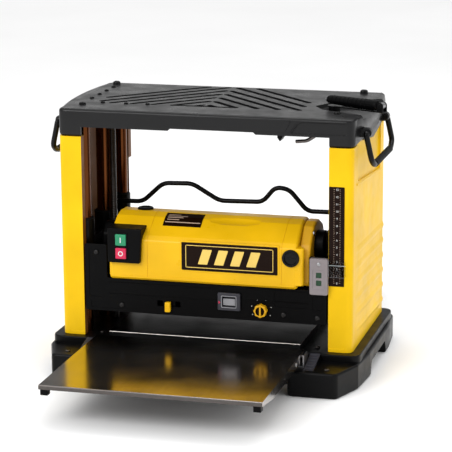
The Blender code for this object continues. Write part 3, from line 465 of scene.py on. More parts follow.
YELLOW = moulded("yellow_shell", (0.77, 0.47, 0.005), 0.34, grain=1100, specular=0.1)
MOTOR_YELLOW = moulded("yellow_housing", (0.74, 0.42, 0.003), 0.32, grain=1100, depth=0.00003,
                       specular=0.22)
ORANGE = moulded("yellow_cast_cap", (0.6, 0.315, 0.004), 0.4, grain=500, depth=0.00008)
# INSIDE_SHADE is painted shade: the side covers are one yellow plastic, and their inner faces are coloured
# brown where they lie in shadow.
INSIDE_SHADE = moulded("shell_inside_painted_shade", (0.2, 0.07, 0.008), 0.5, grain=700, depth=0.00005)
LID = moulded("lid_grained", (0.0062, 0.0062, 0.0066), 0.31, grain=650, depth=0.00008,
              scuff=(0.012, 0.012, 0.013), specular=0.24)
BLACK = moulded("black_moulded", (0.0014, 0.0014, 0.0016), 0.4, grain=700, depth=0.00006,
                scuff=(0.006, 0.006, 0.006), specular=0.07)
SATIN = moulded("black_powder_coat", (0.002, 0.002, 0.0022), 0.28, grain=1400, depth=0.00004,
                scuff=(0.008, 0.008, 0.008), specular=0.16)
CAST = moulded("black_cast_paint", (0.0018, 0.0018, 0.002), 0.34, grain=420, depth=0.0001,
               scuff=(0.008, 0.008, 0.008), specular=0.12)
RUBBER = moulded("rubber", (0.005, 0.005, 0.0052), 0.65, depth=0.00008, specular=0.12)
GREY = moulded("grey_moulded", (0.24, 0.24, 0.255), 0.42, depth=0.00003, scuff=(0.34, 0.34, 0.34))
GREY_DARK = moulded("dark_grey_moulded", (0.03, 0.03, 0.038), 0.4, depth=0.00003)
GREY_LIGHT = moulded("light_grey_moulded", (0.205, 0.18, 0.185), 0.36)
GREEN = moulded("green_button", (0.018, 0.23, 0.105), 0.35)
RED = moulded("red_button", (0.56, 0.018, 0.07), 0.35)
PRINT = moulded("scale_print", (0.008, 0.0026, 0.001), 0.3, depth=0.00001, specular=0.08)
WHITE = moulded("white_print", (0.66, 0.66, 0.64), 0.45, depth=0.00001)
PALE = moulded("pale_print", (0.42, 0.3, 0.22), 0.45, depth=0.00001)
AMBER = moulded("amber_print", (0.76, 0.53, 0.12), 0.4, depth=0.00001)
WINDOW = moulded("dark_window", (0.008, 0.04, 0.016), 0.2, depth=0.00001)
POLISHED = metal("polished_table", (0.5, 0.46, 0.43), 0.155, (1, 0.02, 1), 0.000004, 0.035)
BED = metal("polished_bed", (0.05, 0.048, 0.046), 0.2, (1, 0.03, 1), 0.000005, 0.04)
# The posts' brown-orange steel is a painted reflection of the covers' shaded insides, not the colour of the
# steel.
POST = metal("ground_post_painted_reflection", (0.1, 0.032, 0.01), 0.22, (1, 1, 0.04), 0.000004, 0.04)
STEEL = metal("machined_steel", (0.36, 0.36, 0.37), 0.32, (1, 1, 1), 0.00001, 0.06)
BLACK_STEEL = metal("blackened_steel", (0.035, 0.034, 0.034), 0.38, (1, 1, 1), 0.00001, 0.06)
DARK_STEEL = metal("oiled_steel", (0.1, 0.09, 0.085), 0.36, (1, 1, 1), 0.00001, 0.06)
BRIGHT = metal("bright_steel", (0.7, 0.7, 0.7), 0.18, (0.03, 1, 1), 0.000004, 0.03)
BRONZE = metal("cast_bronze", (0.5, 0.3, 0.11), 0.38, (1, 1, 1), 0.00002, 0.06)
COPPER = metal("armature_metal", (0.42, 0.22, 0.1), 0.4, (0.1, 1, 1), 0.00002, 0.06)


def clear_plastic():
    """Clear plastic with a faint haze."""
    n = Nodes("clear_plastic")
    n.link(n.ramp(n.noise(30.0), 0.3, 0.7, (0.85, 0.88, 0.9), (0.95, 0.97, 0.98)),
           n.shader.inputs["Base Color"])
    n.link(n.spread(n.noise(60.0), 0.0, 0.03), n.shader.inputs["Roughness"])
    n.set("Transmission Weight", 1.0)
    n.set("IOR", 1.12)
    return n.material


CLEAR = clear_plastic()


# -------------------------------------------------------------------- the lid
def swelling(side):
    """The lid's bulging side, down to its point over the carrying handle."""
    bm = bmesh.new()
    for k in range(25):
        t = -1 + 2 * k / 24
        y = 0.008 + 0.14 * t
        x = 0.2655 + 0.0155 * cos(t * pi / 2) ** 0.75
        for inset, z in ((0, 0.452), (0, 0.461), (0.0008, 0.466), (0.0028, 0.4698), (0.0065, 0.4718)):
            bm.verts.new((side * (x - inset), y, z))
    for y, z in ((-0.06, LID_CORNER), (-0.01, 0.415), (0.02, 0.4122), (0.03, 0.4118),
                 (0.04, 0.4122), (0.07, 0.415), (0.1, LID_CORNER)):
        bm.verts.new((side * 0.2655, y, z))
    bmesh.ops.convex_hull(bm, input=bm.verts)
    return from_bmesh("swelling", bm)


def lug(side, y):
    """Rounded lug on the lid that takes one end of a carrying handle."""
    outline = [(0.266, 0.434), (HANDLE_X, 0.434)] + arc(HANDLE_X, HANDLE_Z, 0.008, -90, 90, 12)[1:]
    outline.append((0.266, 0.45))
    piece = prism("lug", [(side * x, z) for x, z in outline], "Y", y - 0.0065, y + 0.0065)
    return soften(piece, 0.001, 2)


def chevron_grooves(lid):
    """V-shaped grooves pressed into the lid, meeting on a line left of the middle."""
    middle, step, half = -0.018, 0.0385, 0.0056
    front, back = -0.068, 0.134
    for side, reach in ((1, 0.172), (-1, 0.196)):
        for k in range(-1, 9):
            top = 0.143 - step * k
            start = max(0.006, top - back)
            end = min(reach, top - front)
            if k < 0:
                start = top - back
            if end - start < 0.012:
                continue
            a = Vector((middle + side * start, top - start))
            b = Vector((middle + side * end, top - end))
            ahead = (b - a).normalized()
            if side > 0 and b.x > 0.164:
                b = a + ahead * ((0.164 - a.x) / ahead.x)
            heading = degrees(atan2(ahead.y, ahead.x))
            outline = arc(b.x, b.y, half, heading - 90, heading + 90, 6)
            outline += arc(a.x, a.y, half, heading + 90, heading + 270, 6)
            cut(lid, prism("groove", outline, "Z", LID_TOP - GROOVE_DEPTH, LID_TOP + PAST))
    bar = pad("bar", "Z", (-0.082, 0.04, -0.073, -0.064), 0.0035, 4, LID_TOP - GROOVE_DEPTH, LID_TOP + PAST)
    return cut(lid, bar)


def lid():
    """Moulded lid: bulging sides, handle lugs, a dish for the crank, grooves and a raised front panel."""
    x, wall = LID_HALF_X, LID_WALL
    piece = pad("lid_shell", "Z", (-x, x, LID_FRONT, LID_BACK), 0.015, 8, LID_CORNER, LID_TOP)
    soften(piece, 0.0055, 4, 60)
    cut(piece, prism("low", rectangle(-SIDE_IN, SIDE_IN, LID_FRONT - PAST, LID_BACK + PAST), "Z",
                     LID_CORNER - PAST, LID_SKIRT),
        prism("skirt", [(-0.075, 0.43), (-0.06, 0.4438), (0.09, 0.4438), (0.105, 0.43)], "Y",
              LID_FRONT - PAST, LID_BACK + PAST))
    inner = rounded(rectangle(-x + wall, x - wall, LID_FRONT + wall, LID_BACK - wall), 0.01, 4)
    cut(piece, prism("hollow", inner, "Z", LID_CORNER - PAST, LID_TOP - wall))
    recess = [(0.152, 0.4445), (0.17, 0.4655), (0.256, 0.4655), (0.256, 0.4445)]
    cut(piece, soften(prism("recess", rounded(recess, 0.004, 4), "Y", LID_FRONT - PAST,
                            LID_FRONT + 0.0018), 0.0008, 2))
    for side in (-1, 1):
        join(piece, swelling(side))
        tip = [(-0.06, LID_CORNER + 0.006), (-0.06, LID_CORNER), (0.03, 0.4118),
               (0.1, LID_CORNER), (0.1, LID_CORNER + 0.006)]
        join(piece, prism("tip", tip, "X", *sorted((side * (x - wall), side * x))))
        for y in (HANDLE_FRONT + LUG_INSET, HANDLE_REAR - LUG_INSET):
            join(piece, lug(side, y))
    floor = [(0.168, -0.02), (0.19, 0.024), (0.2655, 0.083), (0.2655, -0.092), (0.19, -0.056)]
    dish = [(0.172, -0.02), (0.193, 0.021), (0.285, 0.091), (0.285, -0.097), (0.193, -0.053)]
    join(piece, prism("floor", floor, "Z", 0.4602, LID_TOP - wall + 0.001))
    cut(piece, soften(prism("dish", rounded(dish, 0.008, 6), "Z", 0.4632, LID_TOP + PAST), 0.0025, 3),
        cylinder("hole", "Z", SCREW.x, SCREW.y, 0.009, 0.44, LID_TOP + PAST))
    chevron_grooves(piece)
    band = [(-0.017, 0.444), (-0.013, 0.467), (0.158, 0.467), (0.1455, 0.446)]
    raised = prism("band", rounded(band, 0.004, 5), "Y", LID_FRONT - 0.0015, LID_FRONT + 0.002)
    join(piece, soften(raised, 0.0011, 3))
    lip = [(0.156, LID_FRONT + 0.0002, 0.446), (0.1715, LID_FRONT + 0.0002, 0.4663),
           (0.254, LID_FRONT + 0.0002, 0.4663)]
    join(piece, rod("lip", soft_path(lip, 0.008, 6), 0.0016, 12))
    dress(piece, LID, "root", "lid_plastic", "top_cover", angle=28)


def lid_fixings():
    """Domed bolts at the lid's corners and the row of small rivets."""
    heads = [(-0.246, 0.13, 0.0072, 0.0056), (0.229, 0.136, 0.0072, 0.0056),
             (0.226, -0.086, 0.0066, 0.004), (-0.238, -0.092, 0.0062, 0.0036)]
    bolts = [screw_head("lid_bolts", "Z", x, y, LID_TOP, radius, height) for x, y, radius, height in heads]
    dress(gather(*bolts), SATIN, "root", "black_steel")
    rivets = []
    spots = [(-0.241, y) for y in (-0.03, 0.013, 0.054, 0.095)]
    spots += [(x, -0.07) for x in (-0.207, -0.163, -0.123)]
    for x, y in spots:
        rivets.append(turned("lid_rivets", "Z", x, y, [
            (0, LID_TOP - 0.001), (0.0042, LID_TOP - 0.001), (0.0042, LID_TOP + 0.0006),
            (0.0034, LID_TOP + 0.0016), (0.0018, LID_TOP + 0.0021), (0, LID_TOP + 0.0022)], 24))
    dress(gather(*rivets), BLACK, "root", "black_plastic")


lid()
lid_fixings()


# --------------------------------------------------------------- side covers
def swell(height):
    """A broad, soft rib along the side cover, fading out at the front and turning the rear corner."""
    corner, radius, half, proud = SIDE_HALF_Y - 0.013, 0.013, 0.009, 0.0021
    bm = bmesh.new()
    rings = []
    stations = [(SIDE_OUT, -0.126 + (corner + 0.126) * k / 16, 0) for k in range(17)]
    stations += [(SIDE_OUT - radius * (1 - cos(radians(a))),
                  corner + radius * sin(radians(a)), a) for a in (15, 30, 45, 60, 75)]
    for x, y, turn in stations:
        fade = min(1.0, max(0.0, (y + 0.126) / 0.05))
        fade = fade * fade * (3 - 2 * fade)
        out = Vector((cos(radians(turn)), sin(radians(turn)), 0))
        middle = Vector((x, y, height + 0.01 * (corner - y) / (2 * corner)))
        ring = [middle - out * 0.0012 + Vector((0, 0, -half)), middle - out * 0.0012 + Vector((0, 0, half))]
        for i in range(11):
            t = 1 - 2 * i / 10
            bulge = proud * fade * (0.5 + 0.5 * cos(pi * t))
            ring.append(middle + out * (bulge - 0.00005) + Vector((0, 0, half * t)))
        rings.append([bm.verts.new(p) for p in ring])
    return skin("swell", bm, rings)


def side_cover():
    """Moulded cover over the posts: rounded corners, a ledge under the handle and sloping ribs."""
    low, wall, depth = BASE_TOP + GAP, 0.003, 0.004
    outer = rounded(rectangle(SIDE_IN - 0.02, SIDE_OUT, -SIDE_HALF_Y, SIDE_HALF_Y), 0.013, 8)
    outer = [(max(x, SIDE_IN), y) for x, y in outer]
    cover = prism("side_shell_right", outer, "Z", low, SIDE_TOP)
    hollow = rounded(rectangle(SIDE_IN + wall, SIDE_OUT - wall, -SIDE_HALF_Y + wall, SIDE_HALF_Y - wall),
                     0.01, 5)
    cut(cover, prism("hollow", hollow, "Z", low - PAST, SIDE_TOP + PAST),
        box("mouth", (SIDE_IN - PAST, -0.1282, low - PAST),
            (SIDE_IN + wall + 0.001, 0.1282, SIDE_TOP + PAST)))
    back = [(-0.112, RECESS_LOW - 0.009), (0.112, RECESS_LOW - RECESS_FALL - 0.009),
            (0.112, SIDE_TOP), (-0.112, SIDE_TOP)]
    join(cover, prism("back", rounded(back, 0.01, 4), "X", SIDE_OUT - depth - wall, SIDE_OUT - 0.001))
    recess = [(-0.105, RECESS_LOW), (0.105, RECESS_LOW - RECESS_FALL),
              (0.105, SIDE_TOP + 0.02), (-0.105, SIDE_TOP + 0.02)]
    recess = prism("recess", rounded(recess, 0.01, 6), "X", SIDE_OUT - depth, SIDE_OUT + PAST)
    cut(cover, soften(recess, 0.0015, 3))
    notch = [(-0.064, 0.43), (-0.064, SIDE_TOP - 0.0001), (0.03, 0.4112),
             (0.104, SIDE_TOP - 0.0001), (0.104, 0.43)]
    cut(cover, prism("notch", notch, "X", SIDE_OUT - depth - wall - 0.003, SIDE_OUT + PAST))
    for k in range(6):
        join(cover, swell(0.226 - 0.0286 * k))
    ledge = [(SIDE_OUT - 0.0016, -0.112, RECESS_LOW - 0.0035),
             (SIDE_OUT - 0.0016, 0.112, RECESS_LOW - RECESS_FALL - 0.0035)]
    join(cover, rod("ledge", soft_path(ledge, 0.01, 2), 0.003, 14))
    cut(cover, box("step", (SIDE_IN - PAST, 0.1285, low - PAST), (0.2315, 0.16, 0.331)))
    foot = prism("foot", [(-SIDE_HALF_Y - 0.0006, low), (-SIDE_HALF_Y - 0.0006, low + 0.006),
                          (-SIDE_HALF_Y + 0.001, low + 0.0072), (-SIDE_HALF_Y + 0.001, low)],
                 "X", SIDE_IN + 0.001, SIDE_OUT - 0.013)
    join(cover, foot)
    return cover


def dress_side(cover, name, node, side):
    cover.name = name
    dress(cover, (YELLOW, INSIDE_SHADE), "root", "yellow_plastic", node, angle=30)

    def inside(face):
        spot, out = face.center, face.normal
        within = side * spot.x < SIDE_OUT - 0.0029 and abs(spot.y) < SIDE_HALF_Y - 0.0029
        inward = out.dot(Vector((side * 0.245, 0, spot.z)) - spot) > 0 and side * out.x < 0.05
        return (within and inward and abs(out.z) < 0.9) or side * spot.x < SIDE_IN + 0.0005

    # Painted shade: the faces inside the cover take the brown material in place of the yellow.
    paint(cover, 1, inside)


right_cover = side_cover()
left_cover = flipped(right_cover, "side_shell_left")
dress_side(right_cover, "side_shell_right", "side_cover_right", 1)
dress_side(left_cover, "side_shell_left", "side_cover_left", -1)


def words(name, text, size, x, z, y):
    """Raised figures on a face that looks towards the front."""
    curve = bpy.data.curves.new(name, "FONT")
    curve.body = text
    curve.size = size
    curve.align_x = "CENTER"
    curve.extrude = 0.00012
    curve.resolution_u = 2
    obj = new_object(name, curve)
    bpy.context.view_layer.update()
    mesh = bpy.data.meshes.new_from_object(obj.evaluated_get(bpy.context.evaluated_depsgraph_get()))
    bpy.data.objects.remove(obj, do_unlink=True)
    mesh.transform(Matrix.Translation((x, y, z)) @ Matrix.Rotation(pi / 2, 4, "X"))
    return new_object(name, mesh)


def height_scale():
    """Dark strip with two columns of ticks and numbers for the height of the head."""
    front = -SIDE_HALF_Y - GAP
    strip = pad("scale_plate", "Y", (0.225, 0.2525, 0.178, 0.355), 0.0015, 4, front - 0.0006, front)
    dress(soften(strip, 0.0002, 2), PRINT, "root", "scale_print", "scale_strip")
    marks = []
    for k in range(53):
        z = 0.184 + 0.0032 * k
        for x, way in ((0.2335, 1), (0.2455, -1)):
            length = 0.0042 if k % 4 == 0 else 0.0022
            low, high = sorted((x, x + way * length * 0.5))
            marks.append(prism("scale_ticks", rectangle(low, high, z - 0.0003, z + 0.0003), "Y",
                               front - 0.00085, front - 0.0004))
    dress(gather(*marks), PALE, "root", "scale_print")
    numbers = []
    for k in range(14):
        numbers.append(words("scale_numbers", str(k), 0.005, 0.2395, 0.184 + 0.0128 * k - 0.0018,
                             front - 0.0007))
    dress(gather(*numbers), WHITE, "root", "scale_print")


height_scale()


# ------------------------------------------------------------- base and tables
def base():
    """Cast base: seat for the covers, four arms with ribbed ramps, arches at the sides, webs beneath."""
    right = [(0.17, -0.232), (0.258, -0.232), (0.283, -0.165), (0.289, -0.09),
             (0.289, 0.09), (0.283, 0.165), (0.24, 0.222), (0.17, 0.222)]
    left = [(-x, y) for x, y in reversed(right)]
    outline = right + [(0.17, 0.168), (-0.17, 0.168)] + left + [(-0.17, -0.168), (0.17, -0.168)]
    piece = prism("base_shell", rounded(outline, 0.01, 6), "Z", 0.0, ARM_TOP)
    soften(piece, 0.0045, 4, 50)
    seat = pad("seat", "Z", (-0.283, 0.283, -0.16, 0.16), 0.02, 8, ARM_TOP - 0.006, BASE_TOP)
    join(piece, soften(seat, 0.002, 3, 50))
    for side in (-1, 1):
        for end in (-1, 1):
            ramp = [(end * 0.155, ARM_TOP - 0.004), (end * 0.22, ARM_TOP - 0.004),
                    (end * 0.22, ARM_TOP), (end * 0.161, BASE_TOP + 0.001), (end * 0.155, BASE_TOP + 0.001)]
            ramp = prism("ramp", ramp, "X", *sorted((side * 0.197, side * 0.215)))
            join(piece, ramp)
            for k in range(6):
                t = k / 5
                spot = Vector((0, end * (0.166 + 0.048 * t), BASE_TOP - 0.001 - 0.0106 * t))
                rib = rod("rib", [spot + Vector((side * 0.199, 0, 0)), spot + Vector((side * 0.213, 0, 0))],
                          0.0017, 10)
                join(piece, rib)
        arch = [(-0.088, -0.01), (-0.072, 0.026), (0.052, 0.026), (0.07, -0.01)]
        arch = prism("arch", rounded(arch, 0.006, 4), "X", *sorted((side * 0.272, side * 0.3)))
        cut(piece, arch)
    hollow = rounded(rectangle(-0.274, 0.274, -0.15, 0.15), 0.015, 4)
    cut(piece, prism("hollow", hollow, "Z", -0.01, 0.04))
    for x, low in ((-0.13, 0.012), (0.0, 0.0), (0.13, 0.012)):
        join(piece, box("web", (x - 0.005, -0.155, low), (x + 0.005, 0.155, 0.045)))
    dress(piece, (CAST, GREY_DARK), "root", "black_casting", "base_casting", angle=32)

    def on_ramp(face):
        x, y, z = face.center
        within = 0.1965 < abs(x) < 0.2155 and 0.16 < abs(y) < 0.2195
        return within and z > ARM_TOP + 0.0005 and face.normal.z > 0.2

    paint(piece, 1, on_ramp)
    outer = [(x, y) for x in (-0.236, 0.236) for y in (-0.208, 0.208)]
    inner = [(x, y) for x in (-0.2, 0.2) for y in (-0.12, 0.12)]
    heads = gather(screws("base_screws", "Z", outer, ARM_TOP, 0.0046, 0.0022),
                   screws("inner_screws", "Z", inner, BASE_TOP, 0.0048, 0.0024))
    dress(heads, DARK_STEEL, "root", "machined_steel")


def bed():
    """Ground steel bed. The bright polished steel on its edge bevels is a painted highlight."""
    piece = pad("bed_surface", "Z", (-0.1775, 0.1775, -0.152, 0.152), 0.002, 3, BASE_TOP + GAP, BED_TOP)
    dress(soften(piece, 0.0012, 4), (BED, CAST, POLISHED), "root", "polished_steel", "bed_plate")
    # Painted highlight: the bevels take the bright polished steel, the flat top the dark steel, the sides
    # black paint.
    paint(piece, 2, lambda face: abs(face.normal.z) < 0.97)
    paint(piece, 1, lambda face: abs(face.normal.z) < 0.25)


def table(name, end, node, body):
    """Folded steel table: rolled front edge, tapering side flanges, slots and corner clips."""
    near, far = end * TABLE_NEAR, end * TABLE_FAR
    section = [(near, BED_TOP), (near, BED_TOP - SHEET), (far - end * 0.004, BED_TOP - SHEET)]
    lip = [(far - end * 0.0035, BED_TOP - 0.007), (far - end * 0.0004, BED_TOP - 0.0074),
           (far, BED_TOP - 0.0064), (far, BED_TOP - 0.0022)]
    lip += arc(far - end * 0.0022, BED_TOP - 0.0022, 0.0022, 0 if end > 0 else 180, 90, 6)[1:]
    lip += [(far - end * 0.0045, BED_TOP)]
    plate = prism(name, section + lip, "X", -TABLE_HALF_X, TABLE_HALF_X)
    for side in (-1, 1):
        outline = [(near, BED_TOP - 0.001), (near, 0.058), (near + end * 0.004, 0.054),
                   (far - end * 0.07, 0.054), (far - end * 0.001, BED_TOP - 0.0072),
                   (far - end * 0.001, BED_TOP - 0.001)]
        low, high = sorted((side * (TABLE_HALF_X - 0.0025), side * TABLE_HALF_X))
        join(plate, prism("flange", outline, "X", low, high))
        slot = rounded(rectangle(end * 0.325, end * 0.341, 0.0595, 0.064), 0.002, 5)
        if end < 0:
            slot = slot[::-1]
        cut(plate, prism("slot", slot, "X", low - PAST, high + PAST),
            cylinder("hole", "X", end * HINGE_Y, HINGE_Z, 0.0035, low - PAST, high + PAST, 24))
    soften(plate, 0.0006, 3, 40)
    dress(plate, (POLISHED, DARK_STEEL), body, "polished_steel", node, angle=32)
    # Painted shade: faces towards the front or back and the underside take darker steel, leaving a bright
    # line on the rolled edge.
    paint(plate, 1, lambda face: abs(face.normal.y) > 0.5 or face.normal.z < -0.5)
    clips, heads = [], []
    for side in (-1, 1):
        inner = side * (TABLE_HALF_X - 0.0026)
        low, high = sorted((inner, inner - side * 0.013))
        edges = (*sorted((far - end * 0.0008, far - end * 0.015)), BED_TOP - 0.018, BED_TOP - 0.0032)
        clips.append(soften(pad(f"{name}_clips", "X", edges, 0.0028, 4, low, high), 0.0008, 2))
        heads.append(screw_head(f"{name}_screws", "X", end * 0.243, 0.0615, side * TABLE_HALF_X,
                                0.0038, 0.0016, side))
    dress(gather(*clips), BLACK, body, "black_plastic")
    dress(gather(*heads), STEEL, body, "machined_steel")


base()
bed()
table("infeed_surface", -1, "infeed_table", "infeed_table")
table("outfeed_surface", 1, "outfeed_table", "outfeed_table")


# ------------------------------------------------- posts, screws, handles, crank
def lift_thread(name, side, node, body):
    """Round thread cut on the lift screw, with its chain sprocket's teeth above."""
    x, y, pitch, rows, sides = side * SCREW.x, SCREW.y, 0.0032, 6, 20
    bm = bmesh.new()
    low, high = BASE_TOP + GAP, 0.448
    count = int((high - low) / pitch * rows)
    rings = []
    for k in range(count + 1):
        z = low + (high - low) * k / count
        ring = []
        for i in range(sides):
            a = 2 * pi * i / sides
            phase = (z / pitch - a / (2 * pi)) % 1
            radius = SCREW_R - 0.0009 * (0.5 - 0.5 * cos(2 * pi * phase))
            ring.append(bm.verts.new((x + radius * cos(a), y + radius * sin(a), z)))
        rings.append(ring)
    screw = skin(name, bm, rings)
    teeth = []
    for k in range(64):
        a = 2 * pi * k / 64
        radius = 0.019 - (0.0014 if k % 4 in (0, 1) else 0)
        teeth.append((x + radius * cos(a), y + radius * sin(a)))
    sprocket = prism("sprocket", teeth, "Z", 0.4525, 0.4565)
    top = 0.4705 if side > 0 else 0.458
    collar = turned("collar", "Z", x, y, [
        (0, 0.4475), (0.009, 0.4475), (0.011, 0.449), (0.011, 0.4526), (0.0075, 0.4527),
        (0.0075, 0.4566), (SCREW_R, 0.4568), (SCREW_R, top - 0.0008), (SCREW_R - 0.0008, top), (0, top)])
    gather(screw, sprocket, collar)
    dress(screw, DARK_STEEL, body, "machined_steel", node, angle=40)


def carry_handle(side, node, body):
    """Bent rod with a soft thick middle, its ends let into the lid's lugs."""
    out = HANDLE_X + 0.011
    low = HANDLE_Z - 0.057
    front, rear = HANDLE_FRONT, HANDLE_REAR
    corners = [(HANDLE_X, front + 0.01, HANDLE_Z), (HANDLE_X, front, HANDLE_Z),
               (out - 0.001, front, low + 0.012), (out, front + 0.018, low), (out, rear - 0.018, low),
               (out - 0.001, rear, low + 0.012), (HANDLE_X, rear, HANDLE_Z),
               (HANDLE_X, rear - 0.01, HANDLE_Z)]
    path = soft_path([(side * x, y, z) for x, y, z in corners], 0.008, 10)
    start = [Vector((side * HANDLE_X, front + 0.022, HANDLE_Z))]
    end = [Vector((side * HANDLE_X, rear - 0.022, HANDLE_Z))]
    handle = rod(f"handle_rod_{'right' if side > 0 else 'left'}", start + path + end, HANDLE_R, 20)
    dress(handle, SATIN, body, "black_steel", node, angle=50)
    grip = turned("grip", "Y", side * out, low, [
        (0, front + 0.026), (HANDLE_R + 0.0003, front + 0.026), (HANDLE_R + 0.0011, front + 0.028),
        (HANDLE_R + 0.0011, rear - 0.028), (HANDLE_R + 0.0003, rear - 0.026), (0, rear - 0.026)])
    grip.name = f"handle_sleeve_{'right' if side > 0 else 'left'}"
    dress(grip, RUBBER, body, "black_plastic")


def crank_place():
    return Matrix.Translation((SCREW.x, SCREW.y, 0)) @ Matrix.Rotation(CRANK_ANGLE, 4, "Z")


def crank():
    """Lever with its hub, ears and pin, and the grip that folds along it."""
    outline = arc(0, 0, 0.0118, 38, 322, 26)
    outline += [(CRANK_REACH - 0.01, -0.0072), (CRANK_REACH + 0.0065, -0.0072),
                (CRANK_REACH + 0.0065, 0.0072), (CRANK_REACH - 0.01, 0.0072)]
    arm = soften(prism("crank_lever", outline, "Z", CRANK_LOW, CRANK_LOW + CRANK_THICK), 0.0007, 3)
    groove = rounded(rectangle(0.016, CRANK_REACH - 0.016, -0.003, 0.003), 0.0028, 6)
    cut(arm, prism("groove", groove, "Z", CRANK_LOW + CRANK_THICK - 0.0009, CRANK_LOW + PAST))
    hub = turned("hub", "Z", 0, 0, [(0, 0.4637), (0.01, 0.4637), (0.0105, 0.4645),
                                    (0.0105, CRANK_LOW + 0.0004), (0, CRANK_LOW + 0.0004)])
    ears = []
    for side in (-1, 1):
        ear = [(CRANK_REACH - 0.006, CRANK_LOW + 0.001), (CRANK_REACH + 0.0065, CRANK_LOW + 0.001)]
        ear += arc(CRANK_REACH, GRIP_Z, 0.0064, 0, 180, 20)
        ears.append(soften(prism("ear", ear, "Y", *sorted((side * 0.0045, side * 0.007))), 0.0006, 2))
    pin = turned("pin", "Y", CRANK_REACH, GRIP_Z, [
        (0, -0.0082), (0.0028, -0.0082), (0.0034, -0.0074), (0.0034, -0.0068), (0.002, -0.0066),
        (0.002, 0.0066), (0.0034, 0.0068), (0.0034, 0.0074), (0.0028, 0.0082), (0, 0.0082)], 24)
    gather(arm, hub, pin, *ears)
    arm.data.transform(crank_place())
    dress(arm, SATIN, "crank", "black_steel", "crank_arm")
    near, far = GRIP_BACK, CRANK_REACH - 0.007
    profile = [(0, near - 0.0002), (GRIP_R - 0.0042, near), (GRIP_R - 0.0024, near + 0.0018),
               (GRIP_R - 0.0014, near + 0.006)]
    for k in range(9):
        along = near + 0.012 + 0.0088 * k
        profile += [(GRIP_R - 0.001 + 0.0001 * k, along), (GRIP_R - 0.0018 + 0.0001 * k, along + 0.0008),
                    (GRIP_R - 0.001 + 0.0001 * k, along + 0.0016)]
    profile += [(GRIP_R, far - 0.006), (GRIP_R, far - 0.0035), (GRIP_R - 0.001, far - 0.0012),
                (GRIP_R - 0.0025, far), (0, far)]
    grip = turned("crank_handle", "X", 0, GRIP_Z, profile, 40)
    for y, z in circle(0, GRIP_Z, GRIP_R + 0.0016, 12):
        cut(grip, cylinder("flute", "X", y, z, 0.0022, far - 0.075, far - 0.012, 16))
    grip.data.transform(crank_place())
    dress(grip, BLACK, "crank_knob", "black_plastic", "crank_grip", angle=40)


lift_thread("thread_left", -1, "lift_screw_left", "screw_left")
lift_thread("thread_right", 1, "lift_screw_right", "crank")
carry_handle(-1, "carry_handle_left", "handle_left")
carry_handle(1, "carry_handle_right", "handle_right")
crank()


def chain():
    """Roller chain between the two sprockets: a plate and a roller at every step."""
    loop = arc(SCREW.x, SCREW.y, 0.0202, -90, 90, 20) + arc(-SCREW.x, SCREW.y, 0.0202, 90, 270, 20)
    spots = [Vector(p) for p in loop + loop[:1]]
    lengths = [(b - a).length for a, b in zip(spots, spots[1:])]
    count = round(sum(lengths) / 0.006)
    stations = []
    for k in range(count):
        left = sum(lengths) * k / count
        i = 0
        while left > lengths[i]:
            left -= lengths[i]
            i += 1
        stations.append(spots[i].lerp(spots[i + 1], left / lengths[i]))
    links = []
    for k, spot in enumerate(stations):
        after = stations[(k + 1) % count]
        heading = degrees(atan2(after.y - spot.y, after.x - spot.x))
        plate = arc(after.x, after.y, 0.0017, heading - 90, heading + 90, 5)
        plate += arc(spot.x, spot.y, 0.0017, heading + 90, heading + 270, 5)
        lift = 0.0004 * (k % 2)
        links.append(prism("chain_links", plate, "Z", 0.4527 + lift, 0.4533 + lift))
        links.append(prism("link", plate, "Z", 0.4555 - lift, 0.4561 - lift))
        links.append(cylinder("roller", "Z", spot.x, spot.y, 0.0011, 0.4526, 0.4564, 8))
    dress(gather(*links), DARK_STEEL, "root", "machined_steel", "drive_chain")


chain()


# ------------------------------------------------------------------ the head
def shrunk(points, radius, inset=0.0):
    middle = Vector((MOTOR_Y, MOTOR_Z))
    result = []
    for point in rounded(points, radius, 8):
        spot = Vector(point) - middle
        result.append(tuple(middle + spot * (1 - inset / spot.length)))
    return result


def motor_section(inset=0.0):
    return shrunk([(-0.151, 0.169), (MOTOR_FRONT, 0.176), (MOTOR_FRONT, 0.243), (-0.148, 0.251),
                   (-0.108, 0.2765), (-0.088, 0.2815), (-0.06, 0.28), (-0.03, 0.266),
                   (-0.014, 0.24), (-0.011, 0.205), (-0.011, 0.169)], 0.008, inset)


def cap_section(inset=0.0):
    return shrunk([(-0.136, 0.172), (CAP_FRONT, 0.18), (CAP_FRONT, 0.232), (-0.132, 0.246),
                   (-0.104, 0.273), (-0.086, 0.2785), (-0.06, 0.277), (-0.033, 0.264),
                   (-0.017, 0.238), (-0.0145, 0.205), (-0.0145, 0.172)], 0.008, inset)


def ring_groove(x, width, depth):
    """A thin band just under the housing's skin, to cut a seam with."""
    band = prism("band", motor_section(-0.004), "X", x - width / 2, x + width / 2)
    return cut(band, prism("core", motor_section(depth), "X", x - width, x + width))


